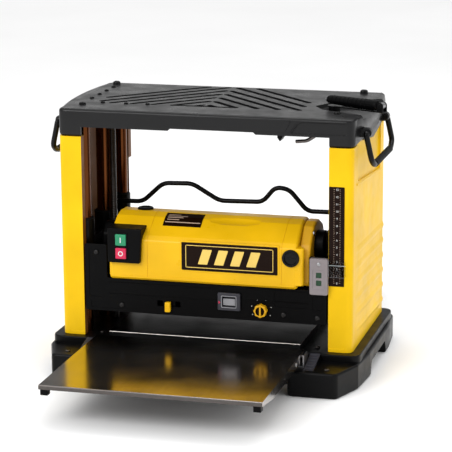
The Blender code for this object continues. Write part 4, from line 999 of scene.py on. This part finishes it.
def motor_housing():
    """Moulded shell with two seams, a scoop on top, a corner wedge and a rim round the plate."""
    piece = prism("housing_shell", motor_section(), "X", MOTOR_LEFT, MOTOR_RIGHT)
    soften(piece, 0.005, 5, 60)
    cut(piece, prism("hollow", motor_section(0.0045), "X", MOTOR_LEFT + 0.004, MOTOR_RIGHT - 0.005),
        prism("opening", cap_section(0.004), "X", MOTOR_RIGHT - PAST, MOTOR_RIGHT + PAST),
        cylinder("shaft_hole", "X", MOTOR_Y, MOTOR_Z, 0.008, MOTOR_LEFT - PAST, MOTOR_LEFT + PAST),
        ring_groove(-0.101, 0.0009, 0.0007), ring_groove(0.1435, 0.0008, 0.0006))
    scoop = turned("scoop", "X", -0.12, 0.302, [
        (0, -0.016), (0.024, -0.01), (0.03, 0.004), (0.032, 0.024), (0.0322, 0.07), (0.03, 0.092),
        (0.024, 0.106), (0, 0.112)], 72)
    cut(piece, scoop)
    corner = [(0.16, MOTOR_FRONT + 0.0004), (0.1765, MOTOR_FRONT + 0.0004), (0.1815, -0.151),
              (0.1815, -0.144), (0.1705, -0.128), (0.16, -0.128)]
    corner = soften(prism("corner", corner, "Z", 0.1765, 0.244), 0.0025, 3)
    join(piece, corner)
    frame = rounded(rectangle(-0.0405, 0.1395, 0.1915, 0.2478), 0.003, 5)
    rim = prism("rim", frame, "Y", MOTOR_FRONT - 0.0006, MOTOR_FRONT + 0.002)
    join(piece, rim)
    strip = rounded(rectangle(-0.168, 0.166, 0.1745, 0.1775), 0.001, 3)
    join(piece, prism("strip", strip, "Y", MOTOR_FRONT - 0.0007, MOTOR_FRONT + 0.002))
    dress(piece, MOTOR_YELLOW, "carriage", "yellow_plastic", "motor_housing", angle=32)


def end_cap():
    """Cast end of the motor with four screws and the round bearing cover."""
    piece = prism("cap_shell", cap_section(), "X", MOTOR_RIGHT + GAP, CAP_RIGHT)
    soften(piece, 0.0042, 5, 60)
    cut(piece, cylinder("seat", "X", MOTOR_Y, MOTOR_Z, 0.03, MOTOR_RIGHT - PAST, CAP_RIGHT - 0.006),
        cylinder("shaft_hole", "X", MOTOR_Y, MOTOR_Z, 0.007, 0.17, 0.21))
    dress(piece, ORANGE, "carriage", "yellow_casting", "motor_end_cap", angle=32)
    spots = [(MOTOR_Y + 0.0545 * cos(a), MOTOR_Z + 0.0415 * sin(a))
             for a in map(radians, (30, 118, 205, -62))]
    dress(screws("cap_screws", "X", spots, CAP_RIGHT, 0.0042, 0.0022), STEEL, "carriage", "machined_steel")
    low = CAP_RIGHT + GAP
    cover = turned("bearing_cap", "X", MOTOR_Y, MOTOR_Z + 0.01, [
        (0, 0.205), (0.0235, 0.205), (0.0235, low), (0.0262, low), (0.0265, low + 0.0006),
        (0.0265, 0.2055), (0.0258, 0.2068), (0.0242, 0.208), (0.0215, 0.2086), (0.0205, 0.2078),
        (0.0192, 0.2078), (0.0182, 0.2088), (0.01, 0.209), (0, 0.209)], 64)
    dress(cover, BLACK, "carriage", "black_plastic", "motor_bearing_cover")


def shoulder_slab(name, x0, x1, y0, y1, low, high):
    """A thin layer that follows the housing's upper front between two places."""
    def skin(offset):
        line = [Vector(p) for p in motor_section(-offset) if p[1] > 0.235]
        line.sort(key=lambda p: p.x)
        spots = []
        for k in range(15):
            y = y0 + (y1 - y0) * k / 14
            for a, b in zip(line, line[1:]):
                if a.x <= y <= b.x:
                    spots.append((y, a.y + (b.y - a.y) * (y - a.x) / (b.x - a.x)))
                    break
        return spots
    return prism(name, skin(low) + skin(high)[::-1], "X", x0, x1)


def nameplate():
    """Generic plates: a dark one with a thin pale border, and a smaller one on the shoulder."""
    front = MOTOR_FRONT - 0.0007
    plate = pad("front_plate", "Y", (-0.0375, 0.1365, 0.1945, 0.2448), 0.0018, 5,
                front - 0.0009, front + 0.0006)
    dress(soften(plate, 0.0003, 2), PRINT, "carriage", "black_plastic")
    lines = []
    for z in (0.1995, 0.2393):
        lines.append(box("front_plate_lines", (-0.03, front - 0.0012, z),
                         (0.129, front - 0.0007, z + 0.0011)))
    for x in (-0.03, 0.1279):
        lines.append(box("line", (x, front - 0.0012, 0.1995), (x + 0.0011, front - 0.0007, 0.2404)))
    for k in range(4):
        middle = 0.0055 + 0.0293 * k
        slant = [(middle - 0.013, 0.2065), (middle + 0.004, 0.2065), (middle + 0.013, 0.2335),
                 (middle - 0.004, 0.2335)]
        lines.append(soften(prism("bar", rounded(slant, 0.0012, 4), "Y", front - 0.0014, front - 0.0006),
                            0.0002, 2))
    dress(gather(*lines), AMBER, "carriage", "yellow_plastic")
    label = shoulder_slab("shoulder_plate", -0.081, -0.011, -0.1262, -0.093, -0.0004, 0.0008)
    dress(label, PRINT, "carriage", "black_plastic")
    marks = [shoulder_slab("shoulder_lines", -0.0785, -0.0135, -0.1195, -0.118, 0.0006, 0.0011)]
    for k in range(4):
        front = -0.114 + 0.0044 * k
        marks.append(shoulder_slab("mark", -0.076, -0.054 + 0.007 * (k % 3), front, front + 0.0012,
                                   0.0006, 0.001))
    dress(gather(*marks), PALE, "carriage", "scale_print")
    knob = turned("top_plug", "Z", -0.129, -0.072, [
        (0, 0.27), (0.0145, 0.27), (0.0145, 0.2828), (0.013, 0.2842), (0.008, 0.2848), (0.007, 0.2838),
        (0, 0.2838)], 40)
    dress(knob, BLACK, "carriage", "black_plastic")


def switch():
    """Switch box with a green start cap and a red stop cap, each in its own pocket."""
    face = [(-0.172, 0.202), (-0.113, 0.202), (-0.109, 0.2645), (-0.172, 0.2645)]
    piece = prism("switch_case", rounded(face, 0.0025, 5), "Y", SWITCH_FRONT, -0.11)
    soften(piece, 0.002, 4, 50)
    cut(piece, prism("seat", motor_section(-GAP * 2), "X", -0.2, -0.08))
    frame = pad("frame", "Y", (-0.16, -0.134, 0.2065, 0.2575), 0.0025, 5,
                SWITCH_FRONT - 0.0009, SWITCH_FRONT + 0.002)
    join(piece, soften(frame, 0.0005, 2))
    for low, high in ((0.233, 0.255), (0.209, 0.23)):
        pocket = rounded(rectangle(-0.1575, -0.1365, low, high), 0.0012, 3)
        cut(piece, prism("pocket", pocket, "Y", SWITCH_FRONT - PAST, SWITCH_FRONT + 0.0078))
    dress(piece, BLACK, "carriage", "black_plastic", "switch_box")
    for name, low, high, node, body, material, slot in (
            ("start_cap", 0.233, 0.255, "start_button", "start_button", GREEN, "green_button"),
            ("stop_cap", 0.209, 0.23, "stop_button", "stop_button", RED, "red_button")):
        bottom, top = low + 0.0007, high - 0.0007
        face = SWITCH_FRONT - 0.0028
        cap = pad(name, "Y", (-0.1568, -0.1372, bottom, top), 0.0016, 4, face, SWITCH_FRONT + 0.0032)
        soften(cap, 0.0014, 4, 50)
        x, z = -0.147, (bottom + top) / 2
        dress(cap, material, body, slot, node)
        if name == "start_cap":
            mark = pad("start_mark", "Y", (x - 0.0009, x + 0.0009, z - 0.0048, z + 0.0048), 0.0004, 3,
                       face - 0.0003, face + 0.0003)
        else:
            mark = cylinder("stop_mark", "Y", x, z, 0.0046, face - 0.0003, face + 0.0003, 40)
            cut(mark, cylinder("inner", "Y", x, z, 0.003, face - PAST, face + PAST, 40))
        dress(mark, WHITE, body, slot)


def brush():
    """Round brush plug with a screwdriver slot."""
    y = MOTOR_FRONT - GAP
    cap = turned("brush_plug", "Y", 0.16, 0.2265, [
        (0, y), (0.0155, y), (0.0155, y - 0.0022), (0.015, y - 0.0032), (0.014, y - 0.0036),
        (0.0122, y - 0.0036), (0.0114, y - 0.003), (0.0106, y - 0.0006), (0, y - 0.0006)], 56)
    slot = rectangle(0.1516, 0.1684, 0.2257, 0.2273)
    tongue = prism("tongue", slot, "Y", y - 0.0016, y - 0.0004)
    gather(cap, soften(tongue, 0.0003, 2))
    dress(cap, SATIN, "carriage", "black_plastic", "brush_cap")


def shroud():
    """Black front of the head, with sunk panels, thin rails and openings for the controls."""
    front, back, x = SHROUD_FRONT, SHROUD_FRONT + 0.0032, SHROUD_HALF_X
    face = [(-x, 0.106), (x, 0.106), (x, PANEL_TOP), (0.19, PANEL_TOP), (0.19, ROOF_HIGH),
            (-0.18, ROOF_HIGH), (-0.18, PANEL_TOP), (-x, PANEL_TOP)]
    piece = prism("shroud_shell", rounded(face, 0.004, 5), "Y", front, back)
    soften(piece, 0.0009, 3, 50)
    for low in (0.106, ROOF_HIGH - 0.003):
        join(piece, box("return", (-x + 0.004, back - 0.001, low), (x - 0.004, -0.1245, low + 0.003)))
    for left, right, low, high in ((-0.212, -0.128, 0.1115, 0.1245), (0.128, 0.188, 0.134, 0.163),
                                   (-0.214, -0.188, 0.132, 0.221), (0.196, 0.214, 0.132, 0.16)):
        panel = pad("panel", "Y", (left, right, low, high), 0.003, 4, front - PAST, front + 0.0009)
        cut(piece, panel)
    for z in (0.1395, 0.1605):
        for left, right, low in ((-0.178, 0.018, z), (0.078, 0.188, z + 0.004)):
            ends = [Vector((left, front + 0.0002, low)), Vector((right, front + 0.0002, low))]
            join(piece, rod("rail", ends, 0.0009, 10))
    cut(piece, cylinder("knob_hole", "Y", KNOB_X, KNOB_Z, 0.006, front - PAST, back + PAST, 28),
        box("tab_slot", (-0.087, front - PAST, 0.1215), (-0.044, back + PAST, 0.132)),
        box("gauge_window", (0.031, front - PAST, 0.1285), (0.062, back + PAST, 0.15)),
        box("foot_slot", (0.035, back + 0.001, 0.09), (0.058, -0.136, 0.12)))
    ring = turned("ring", "Y", KNOB_X, KNOB_Z, [
        (0.0128, front + 0.0008), (0.0148, front + 0.0008), (0.015, front - 0.0002),
        (0.0146, front - 0.0009), (0.0132, front - 0.0009), (0.0128, front - 0.0002),
        (0.0128, front + 0.0008)])
    gather(piece, ring)
    dress(piece, BLACK, "carriage", "black_plastic", "front_shroud", angle=32)
    spots = [(-0.1535, 0.1186), (0.1442, 0.1201), (-0.2, 0.214), (0.205, 0.118)]
    heads = screws("shroud_screws", "Y", spots, front, 0.0042, 0.0018, -1)
    dress(heads, BLACK_STEEL, "carriage", "machined_steel")


def front_controls():
    """Depth stop knob, sliding tab and removal gauge."""
    x, z, y = KNOB_X, KNOB_Z, SHROUD_FRONT - 0.0005
    outline = []
    for k in range(96):
        a = 2 * pi * k / 96
        radius = 0.0113 + 0.0007 * cos(8 * a)
        outline.append((x + radius * cos(a), z + radius * sin(a)))
    knob = soften(prism("stop_knob", outline, "Y", y - 0.0115, y), 0.0012, 4, 60)
    cut(knob, turned("hollow", "Y", x, z, [(0, y - 0.008), (0.0072, y - 0.008), (0.0084, y - 0.0125),
                                           (0, y - 0.0125)], 48))
    join(knob, box("pointer", (x - 0.0014, y - 0.0112, z - 0.0076), (x + 0.0014, y - 0.007, z + 0.0076)),
         cylinder("stem", "Y", x, z, 0.005, y - 0.001, -0.13, 24))
    dress(knob, (ORANGE, PRINT), "stop_knob", "yellow_plastic", "depth_stop_knob")

    # Painted shade: the faces inside the knob's hollow, apart from the pointer, take the near-black print
    # colour.
    def hollowed(face):
        spot = face.center
        away = hypot(spot.x - x, spot.z - z)
        beside = abs(spot.x - x) > 0.0015 or spot.y > y - 0.0075
        return y - 0.011 < spot.y < y - 0.006 and away < 0.0086 and beside

    paint(knob, 1, hollowed)
    dots = screws("knob_dots", "Y", arc(x, z, 0.0185, -30, 210, 5), SHROUD_FRONT, 0.0008, 0.0003, -1)
    dress(dots, WHITE, "carriage", "scale_print")

    left, right, low, high = -0.0712, -0.0612, 0.113, 0.131
    tab = pad("knife_tab", "Y", (left, right, low, high), 0.002, 5, -0.1535, SHROUD_FRONT - 0.0006)
    soften(tab, 0.0012, 3, 50)
    for k in range(3):
        z = low + 0.0035 + 0.0032 * k
        cut(tab, rod("groove", [Vector((left - 0.001, -0.1537, z)), Vector((right + 0.001, -0.1537, z))],
                     0.0007, 10))
    join(tab, box("stem", (-0.0695, -0.147, 0.124), (-0.063, -0.1395, 0.13)))
    dress(tab, MOTOR_YELLOW, "lock_tab", "yellow_plastic", "lock_tab")
    slide = soften(box("knife_slide", (-0.078, -0.1415, 0.117), (-0.0545, -0.1388, 0.136)), 0.0006, 2)
    dress(slide, BLACK, "lock_tab", "black_plastic")

    frame = pad("gauge_case", "Y", (0.026, 0.067, 0.123, 0.155), 0.003, 5, -0.151, SHROUD_FRONT - GAP)
    soften(frame, 0.0012, 3, 50)
    cut(frame, pad("window", "Y", (0.0345, 0.0585, 0.13, 0.148), 0.0015, 4, -0.16, -0.14))
    dress(frame, GREY_DARK, "carriage", "grey_plastic", "removal_gauge")
    edge = pad("gauge_outline", "Y", (0.0325, 0.0605, 0.128, 0.15), 0.0022, 5, -0.1513, -0.1508)
    cut(edge, pad("inside", "Y", (0.0336, 0.0594, 0.1291, 0.1489), 0.0016, 5, -0.16, -0.14))
    dress(edge, GREY, "carriage", "scale_print")
    mark = prism("gauge_mark", [(0.028, 0.135), (0.0315, 0.1375), (0.028, 0.14)], "Y", -0.1513, -0.1508)
    dress(mark, RED, "carriage", "red_button")
    slider = soften(box("gauge_plate", (0.0355, -0.1488, 0.132), (0.0575, -0.138, 0.144)), 0.0006, 3)
    join(slider, soften(box("foot", (0.0375, -0.1405, 0.1045), (0.0555, -0.138, 0.1335)), 0.0006, 3))
    for k in range(5):
        groove = box("line", (0.037, -0.1492, 0.1338 + 0.0021 * k), (0.044 + 0.003 * (k % 2), -0.1484,
                                                                     0.1342 + 0.0021 * k))
        cut(slider, groove)
    dress(slider, GREY, "gauge", "grey_plastic", "gauge_slider")


def pointer():
    """Grey bracket with two small windows, and the clear pointer over the height scale."""
    front = -0.1555
    block = pad("pointer_block", "Y", (0.193, 0.2252, 0.163, 0.228), 0.0035, 6, front, SHROUD_FRONT - GAP)
    soften(block, 0.0013, 3, 50)
    panel = pad("panel", "Y", (0.1985, 0.2205, 0.1735, 0.2085), 0.002, 4, front - PAST, front + 0.0008)
    cut(block, soften(panel, 0.0004, 2))
    for low in (0.1935, 0.1795):
        cut(block, pad("window", "Y", (0.2045, 0.2145, low, low + 0.01), 0.0015, 4, -0.17, front + 0.003))
    dress(block, GREY_LIGHT, "carriage", "grey_plastic", "pointer_bracket")
    panes = [box("pointer_windows", (0.2047, front + 0.0018, low + 0.0002),
                 (0.2143, front + 0.0026, low + 0.0098)) for low in (0.1935, 0.1795)]
    dress(gather(*panes), WINDOW, "carriage", "clear_plastic")
    head = screw_head("pointer_screw", "Y", 0.2095, 0.2185, front, 0.0034, 0.0013, -1)
    dress(head, STEEL, "carriage", "machined_steel")
    lens = pad("cursor", "Y", (0.2252 + GAP, 0.255, 0.195, 0.224), 0.0015, 4, -0.1505, -0.1478)
    soften(lens, 0.0006, 3, 50)
    cut(lens, box("line", (0.225, -0.1482, 0.2154), (0.256, -0.147, 0.2166)))
    dress(lens, CLEAR, "carriage", "clear_plastic", "pointer_lens")
    line = box("cursor_line", (0.2262, -0.1481, 0.2155), (0.2545, -0.1476, 0.2165))
    dress(line, WHITE, "carriage", "scale_print")


def lock_bar():
    """Bent bar across the back of the head."""
    y, z = LOCK_BAR_Y, LOCK_BAR_Z
    bend = [(-0.24, z), (-0.168, z + 0.001), (-0.128, z + 0.038), (-0.072, z + 0.04),
            (-0.02, z + 0.01), (0.062, z + 0.012), (0.086, z + 0.041), (0.112, z + 0.038),
            (0.146, z - 0.001), (0.24, z)]
    bar = rod("lock_rod", soft_path([(x, y, h) for x, h in bend], 0.012, 9), LOCK_BAR_R, 24)
    dress(bar, SATIN, "lock_bar", "black_steel", "head_lock_bar", angle=50)


def belt_case():
    """Vented cover over the belt at the left end of the motor."""
    outline = [(-0.107, ROOF_HIGH + GAP), (-0.107, 0.24), (-0.09, 0.258), (-0.07, 0.258),
               (-0.04, 0.235), (-0.0075, 0.19), (-0.0075, ROOF_HIGH + GAP)]
    piece = prism("belt_case", rounded(outline, 0.008, 6), "X", -0.1998, MOTOR_LEFT - GAP)
    soften(piece, 0.0018, 3, 60)
    inner = [(-0.104, 0.15), (-0.104, 0.239), (-0.089, 0.255), (-0.071, 0.255), (-0.043, 0.233),
             (-0.01, 0.1895), (-0.01, 0.15)]
    cut(piece, prism("hollow", inner, "X", -0.1978, MOTOR_LEFT - 0.004),
        cylinder("shaft_hole", "X", MOTOR_Y, MOTOR_Z, 0.008, -0.18, -0.16))
    for k in range(5):
        y = -0.094 + 0.013 * k
        vent = rounded(rectangle(y, y + 0.006, 0.19, 0.222 - 0.004 * k), 0.0028, 5)
        cut(piece, prism("vent", vent, "X", -0.21, -0.197))
    dress(piece, BLACK, "carriage", "black_plastic", "belt_cover")


def chip_hood():
    """Hollow hood behind the cutter, with ribs along its top."""
    outer = [(0.1185, 0.118), (0.15, 0.118), (0.15, 0.15), (0.128, 0.196), (0.05, 0.2),
             (0.02, 0.186), (0.02, ROOF_HIGH + GAP), (0.1185, ROOF_HIGH + GAP)]
    inner = [(0.121, 0.1), (0.1475, 0.1), (0.1475, 0.149), (0.1262, 0.1935), (0.051, 0.1975),
             (0.0225, 0.1845), (0.0225, 0.17), (0.121, 0.17)]
    hood = prism("chip_hood", rounded(outer, 0.004, 4), "X", -0.172, 0.172)
    soften(hood, 0.0012, 2, 60)
    cut(hood, prism("hollow", inner, "X", -0.169, 0.169))
    for k in range(9):
        x = -0.152 + 0.038 * k
        rib = prism("rib", [(0.127, 0.1965), (0.052, 0.2005), (0.052, 0.2025), (0.129, 0.1985),
                            (0.152, 0.151), (0.1498, 0.15)], "X", x - 0.0009, x + 0.0009)
        join(hood, rib)
    dress(hood, BLACK, "carriage", "black_plastic", "chip_deflector")
    heads = screws("hood_screws", "Z", [(x, 0.06) for x in (-0.133, -0.019, 0.133)], 0.1998, 0.0042, 0.002)
    dress(heads, STEEL, "carriage", "machined_steel")


def head_fixings():
    """Bolts that hold the motor's feet and cheeks on the casting."""
    spots = [(side * 0.218, y) for side in (-1, 1) for y in (-0.06, 0.045)]
    heads = gather(screws("head_bolts", "Z", spots, ROOF_HIGH, 0.0048, 0.003),
                   screws("bolts", "Z", [(-0.176, 0.006), (0.176, 0.006)], ROOF_HIGH, 0.0045, 0.003))
    dress(heads, DARK_STEEL, "carriage", "machined_steel")
    rings = []
    for side in (-1, 1):
        for y, radius, low in ((-0.111, 0.0106, 0.2672), (0.0, 0.0166, 0.2572), (0.1, 0.0106, 0.2672)):
            rings.append(turned("post_wipers", "Z", side * POST_X, y, [
                (radius, low), (radius + 0.0028, low), (radius + 0.0024, low + 0.0023),
                (radius, low + 0.0028), (radius, low)], 36))
    dress(gather(*rings), RUBBER, "carriage", "black_plastic")
    gland = turned("lead_inlet", "Y", -0.13, 0.21, [
        (0, -0.0105), (0.0105, -0.0105), (0.0108, -0.0098), (0.0105, -0.0074), (0.008, -0.0066),
        (0.0076, -0.004), (0.007, -0.0036), (0.0074, -0.002), (0.0068, -0.0014), (0.007, 0.0004),
        (0.0062, 0.001), (0.0064, 0.003), (0.0058, 0.005), (0.0042, 0.005), (0.0042, -0.004),
        (0, -0.004)], 40)
    dress(gland, RUBBER, "carriage", "black_plastic", "cord_gland")


motor_housing()
end_cap()
nameplate()
switch()
brush()
shroud()
front_controls()
pointer()
lock_bar()
belt_case()
chip_hood()
head_fixings()


# --------------------------------------------------- nodes kept from the frame
def keep(material, *names):
    """Gives nodes that stay as they are in the CAD model their material."""
    for name in names:
        data = frame["nodes"][name].data
        data.materials.clear()
        data.materials.append(material)


keep(CAST, "carriage_casting", "top_plate")
# Painted reflection: the posts and columns take the brown-tinted steel.
keep(POST, "post_front_left", "post_front_right", "post_rear_left", "post_rear_right",
     "column_left", "column_right")
keep(BLACK, "tool_clip", "drive_belt")
keep(DARK_STEEL, "hex_wrench", "motor_field", "cutter_block")
keep(STEEL, "table_bracket_front_left", "table_bracket_front_right", "table_bracket_rear_left",
     "table_bracket_rear_right", "crank_spindle")
keep(BRIGHT, "knife_front", "knife_rear")
keep(BRONZE, "lift_nut_left", "lift_nut_right")
keep(RUBBER, "infeed_roller", "outfeed_roller")
keep(COPPER, "motor_armature")


# -------------------------------------------------- camera, floor, light, world
def camera():
    azimuth, elevation, roll, distance = radians(15.21), radians(13.43), radians(-0.4), 3.699
    back = Vector((sin(azimuth) * cos(elevation), -cos(azimuth) * cos(elevation),
                   sin(elevation)))
    right = Vector((cos(azimuth), sin(azimuth), 0))
    up = back.cross(right)
    tilted_right = cos(roll) * right + sin(roll) * up
    tilted_up = -sin(roll) * right + cos(roll) * up
    matrix = Matrix((tilted_right, tilted_up, back)).transposed().to_4x4()
    matrix.translation = Vector((0, 0, 0.24)) + back * distance
    data = bpy.data.cameras.new("camera")
    data.sensor_width = 36
    data.lens = 161.13
    data.shift_x = 0.00177
    data.shift_y = -0.00088
    obj = new_object("camera", data)
    obj.matrix_world = matrix
    bpy.context.scene.camera = obj


def lamp(name, spot, target, size, power):
    """A soft rectangular lamp that looks at its target."""
    data = bpy.data.lights.new(name, "AREA")
    data.shape = "RECTANGLE"
    data.size, data.size_y = size
    data.energy = power
    obj = new_object(name, data)
    obj.location = spot
    obj.rotation_euler = (Vector(target) - Vector(spot)).to_track_quat("-Z", "Y").to_euler()


def sky():
    """White all round. Low behind the machine, shiny metal finds a darker band to mirror."""
    world = bpy.data.worlds.new("studio")
    world.use_nodes = True
    bpy.context.scene.world = world
    tree = world.node_tree
    background = tree.nodes["Background"]
    background.inputs["Color"].default_value = (1, 1, 1, 1)
    direction = tree.nodes.new("ShaderNodeTexCoord")
    parts = tree.nodes.new("ShaderNodeSeparateXYZ")
    tree.links.new(direction.outputs["Generated"], parts.inputs[0])
    height = tree.nodes.new("ShaderNodeValToRGB")
    tree.links.new(parts.outputs["Z"], height.inputs[0])
    stops = height.color_ramp.elements  # brightness by the sine of the angle above the floor
    for place_at, level in ((0.2, 1.0), (0.25, 0.08), (0.38, 0.15), (0.65, 1.0)):
        stop = stops.new(place_at)
        stop.color = (level, level, level, 1)
    stops.remove(stops[0])
    stops.remove(stops[-1])
    path = tree.nodes.new("ShaderNodeLightPath")
    seen = tree.nodes.new("ShaderNodeMix")
    tree.links.new(path.outputs["Is Glossy Ray"], seen.inputs[0])
    seen.inputs[2].default_value = 1.0
    tree.links.new(height.outputs["Color"], seen.inputs[3])
    tree.links.new(seen.outputs[0], background.inputs["Strength"])


def studio():
    """White floor, bright surroundings and three soft lamps."""
    bm = bmesh.new()
    edges = (-FLOOR_HALF, FLOOR_HALF, -FLOOR_HALF, FLOOR_HALF)
    bm.faces.new([bm.verts.new((x, y, 0)) for x, y in rectangle(*edges)])
    floor = from_bmesh("floor", bm)
    if floor.data.polygons[0].normal.z < 0:
        floor.data.flip_normals()
    n = Nodes("floor_white")
    clouds = n.ramp(n.noise(1.5), 0.3, 0.7, (0.9, 0.9, 0.9), (0.93, 0.93, 0.93))
    n.link(clouds, n.shader.inputs["Base Color"])
    n.set("Roughness", 0.85)
    n.set("Specular IOR Level", 0.1)
    floor.data.materials.append(n.material)
    sky()
    lamp("key", (-1.2, -2.4, 1.9), (0, 0, 0.2), (1.6, 1.2), 44)
    lamp("side", (2.6, -0.6, 1.3), (0, 0, 0.25), (1.4, 1.4), 10)
    lamp("top", (0.2, 0.6, 2.6), (0, 0, 0.4), (2.0, 1.2), 22)


camera()
studio()
bpy.context.scene.view_settings.view_transform = "Standard"

bpy.context.view_layer.update()
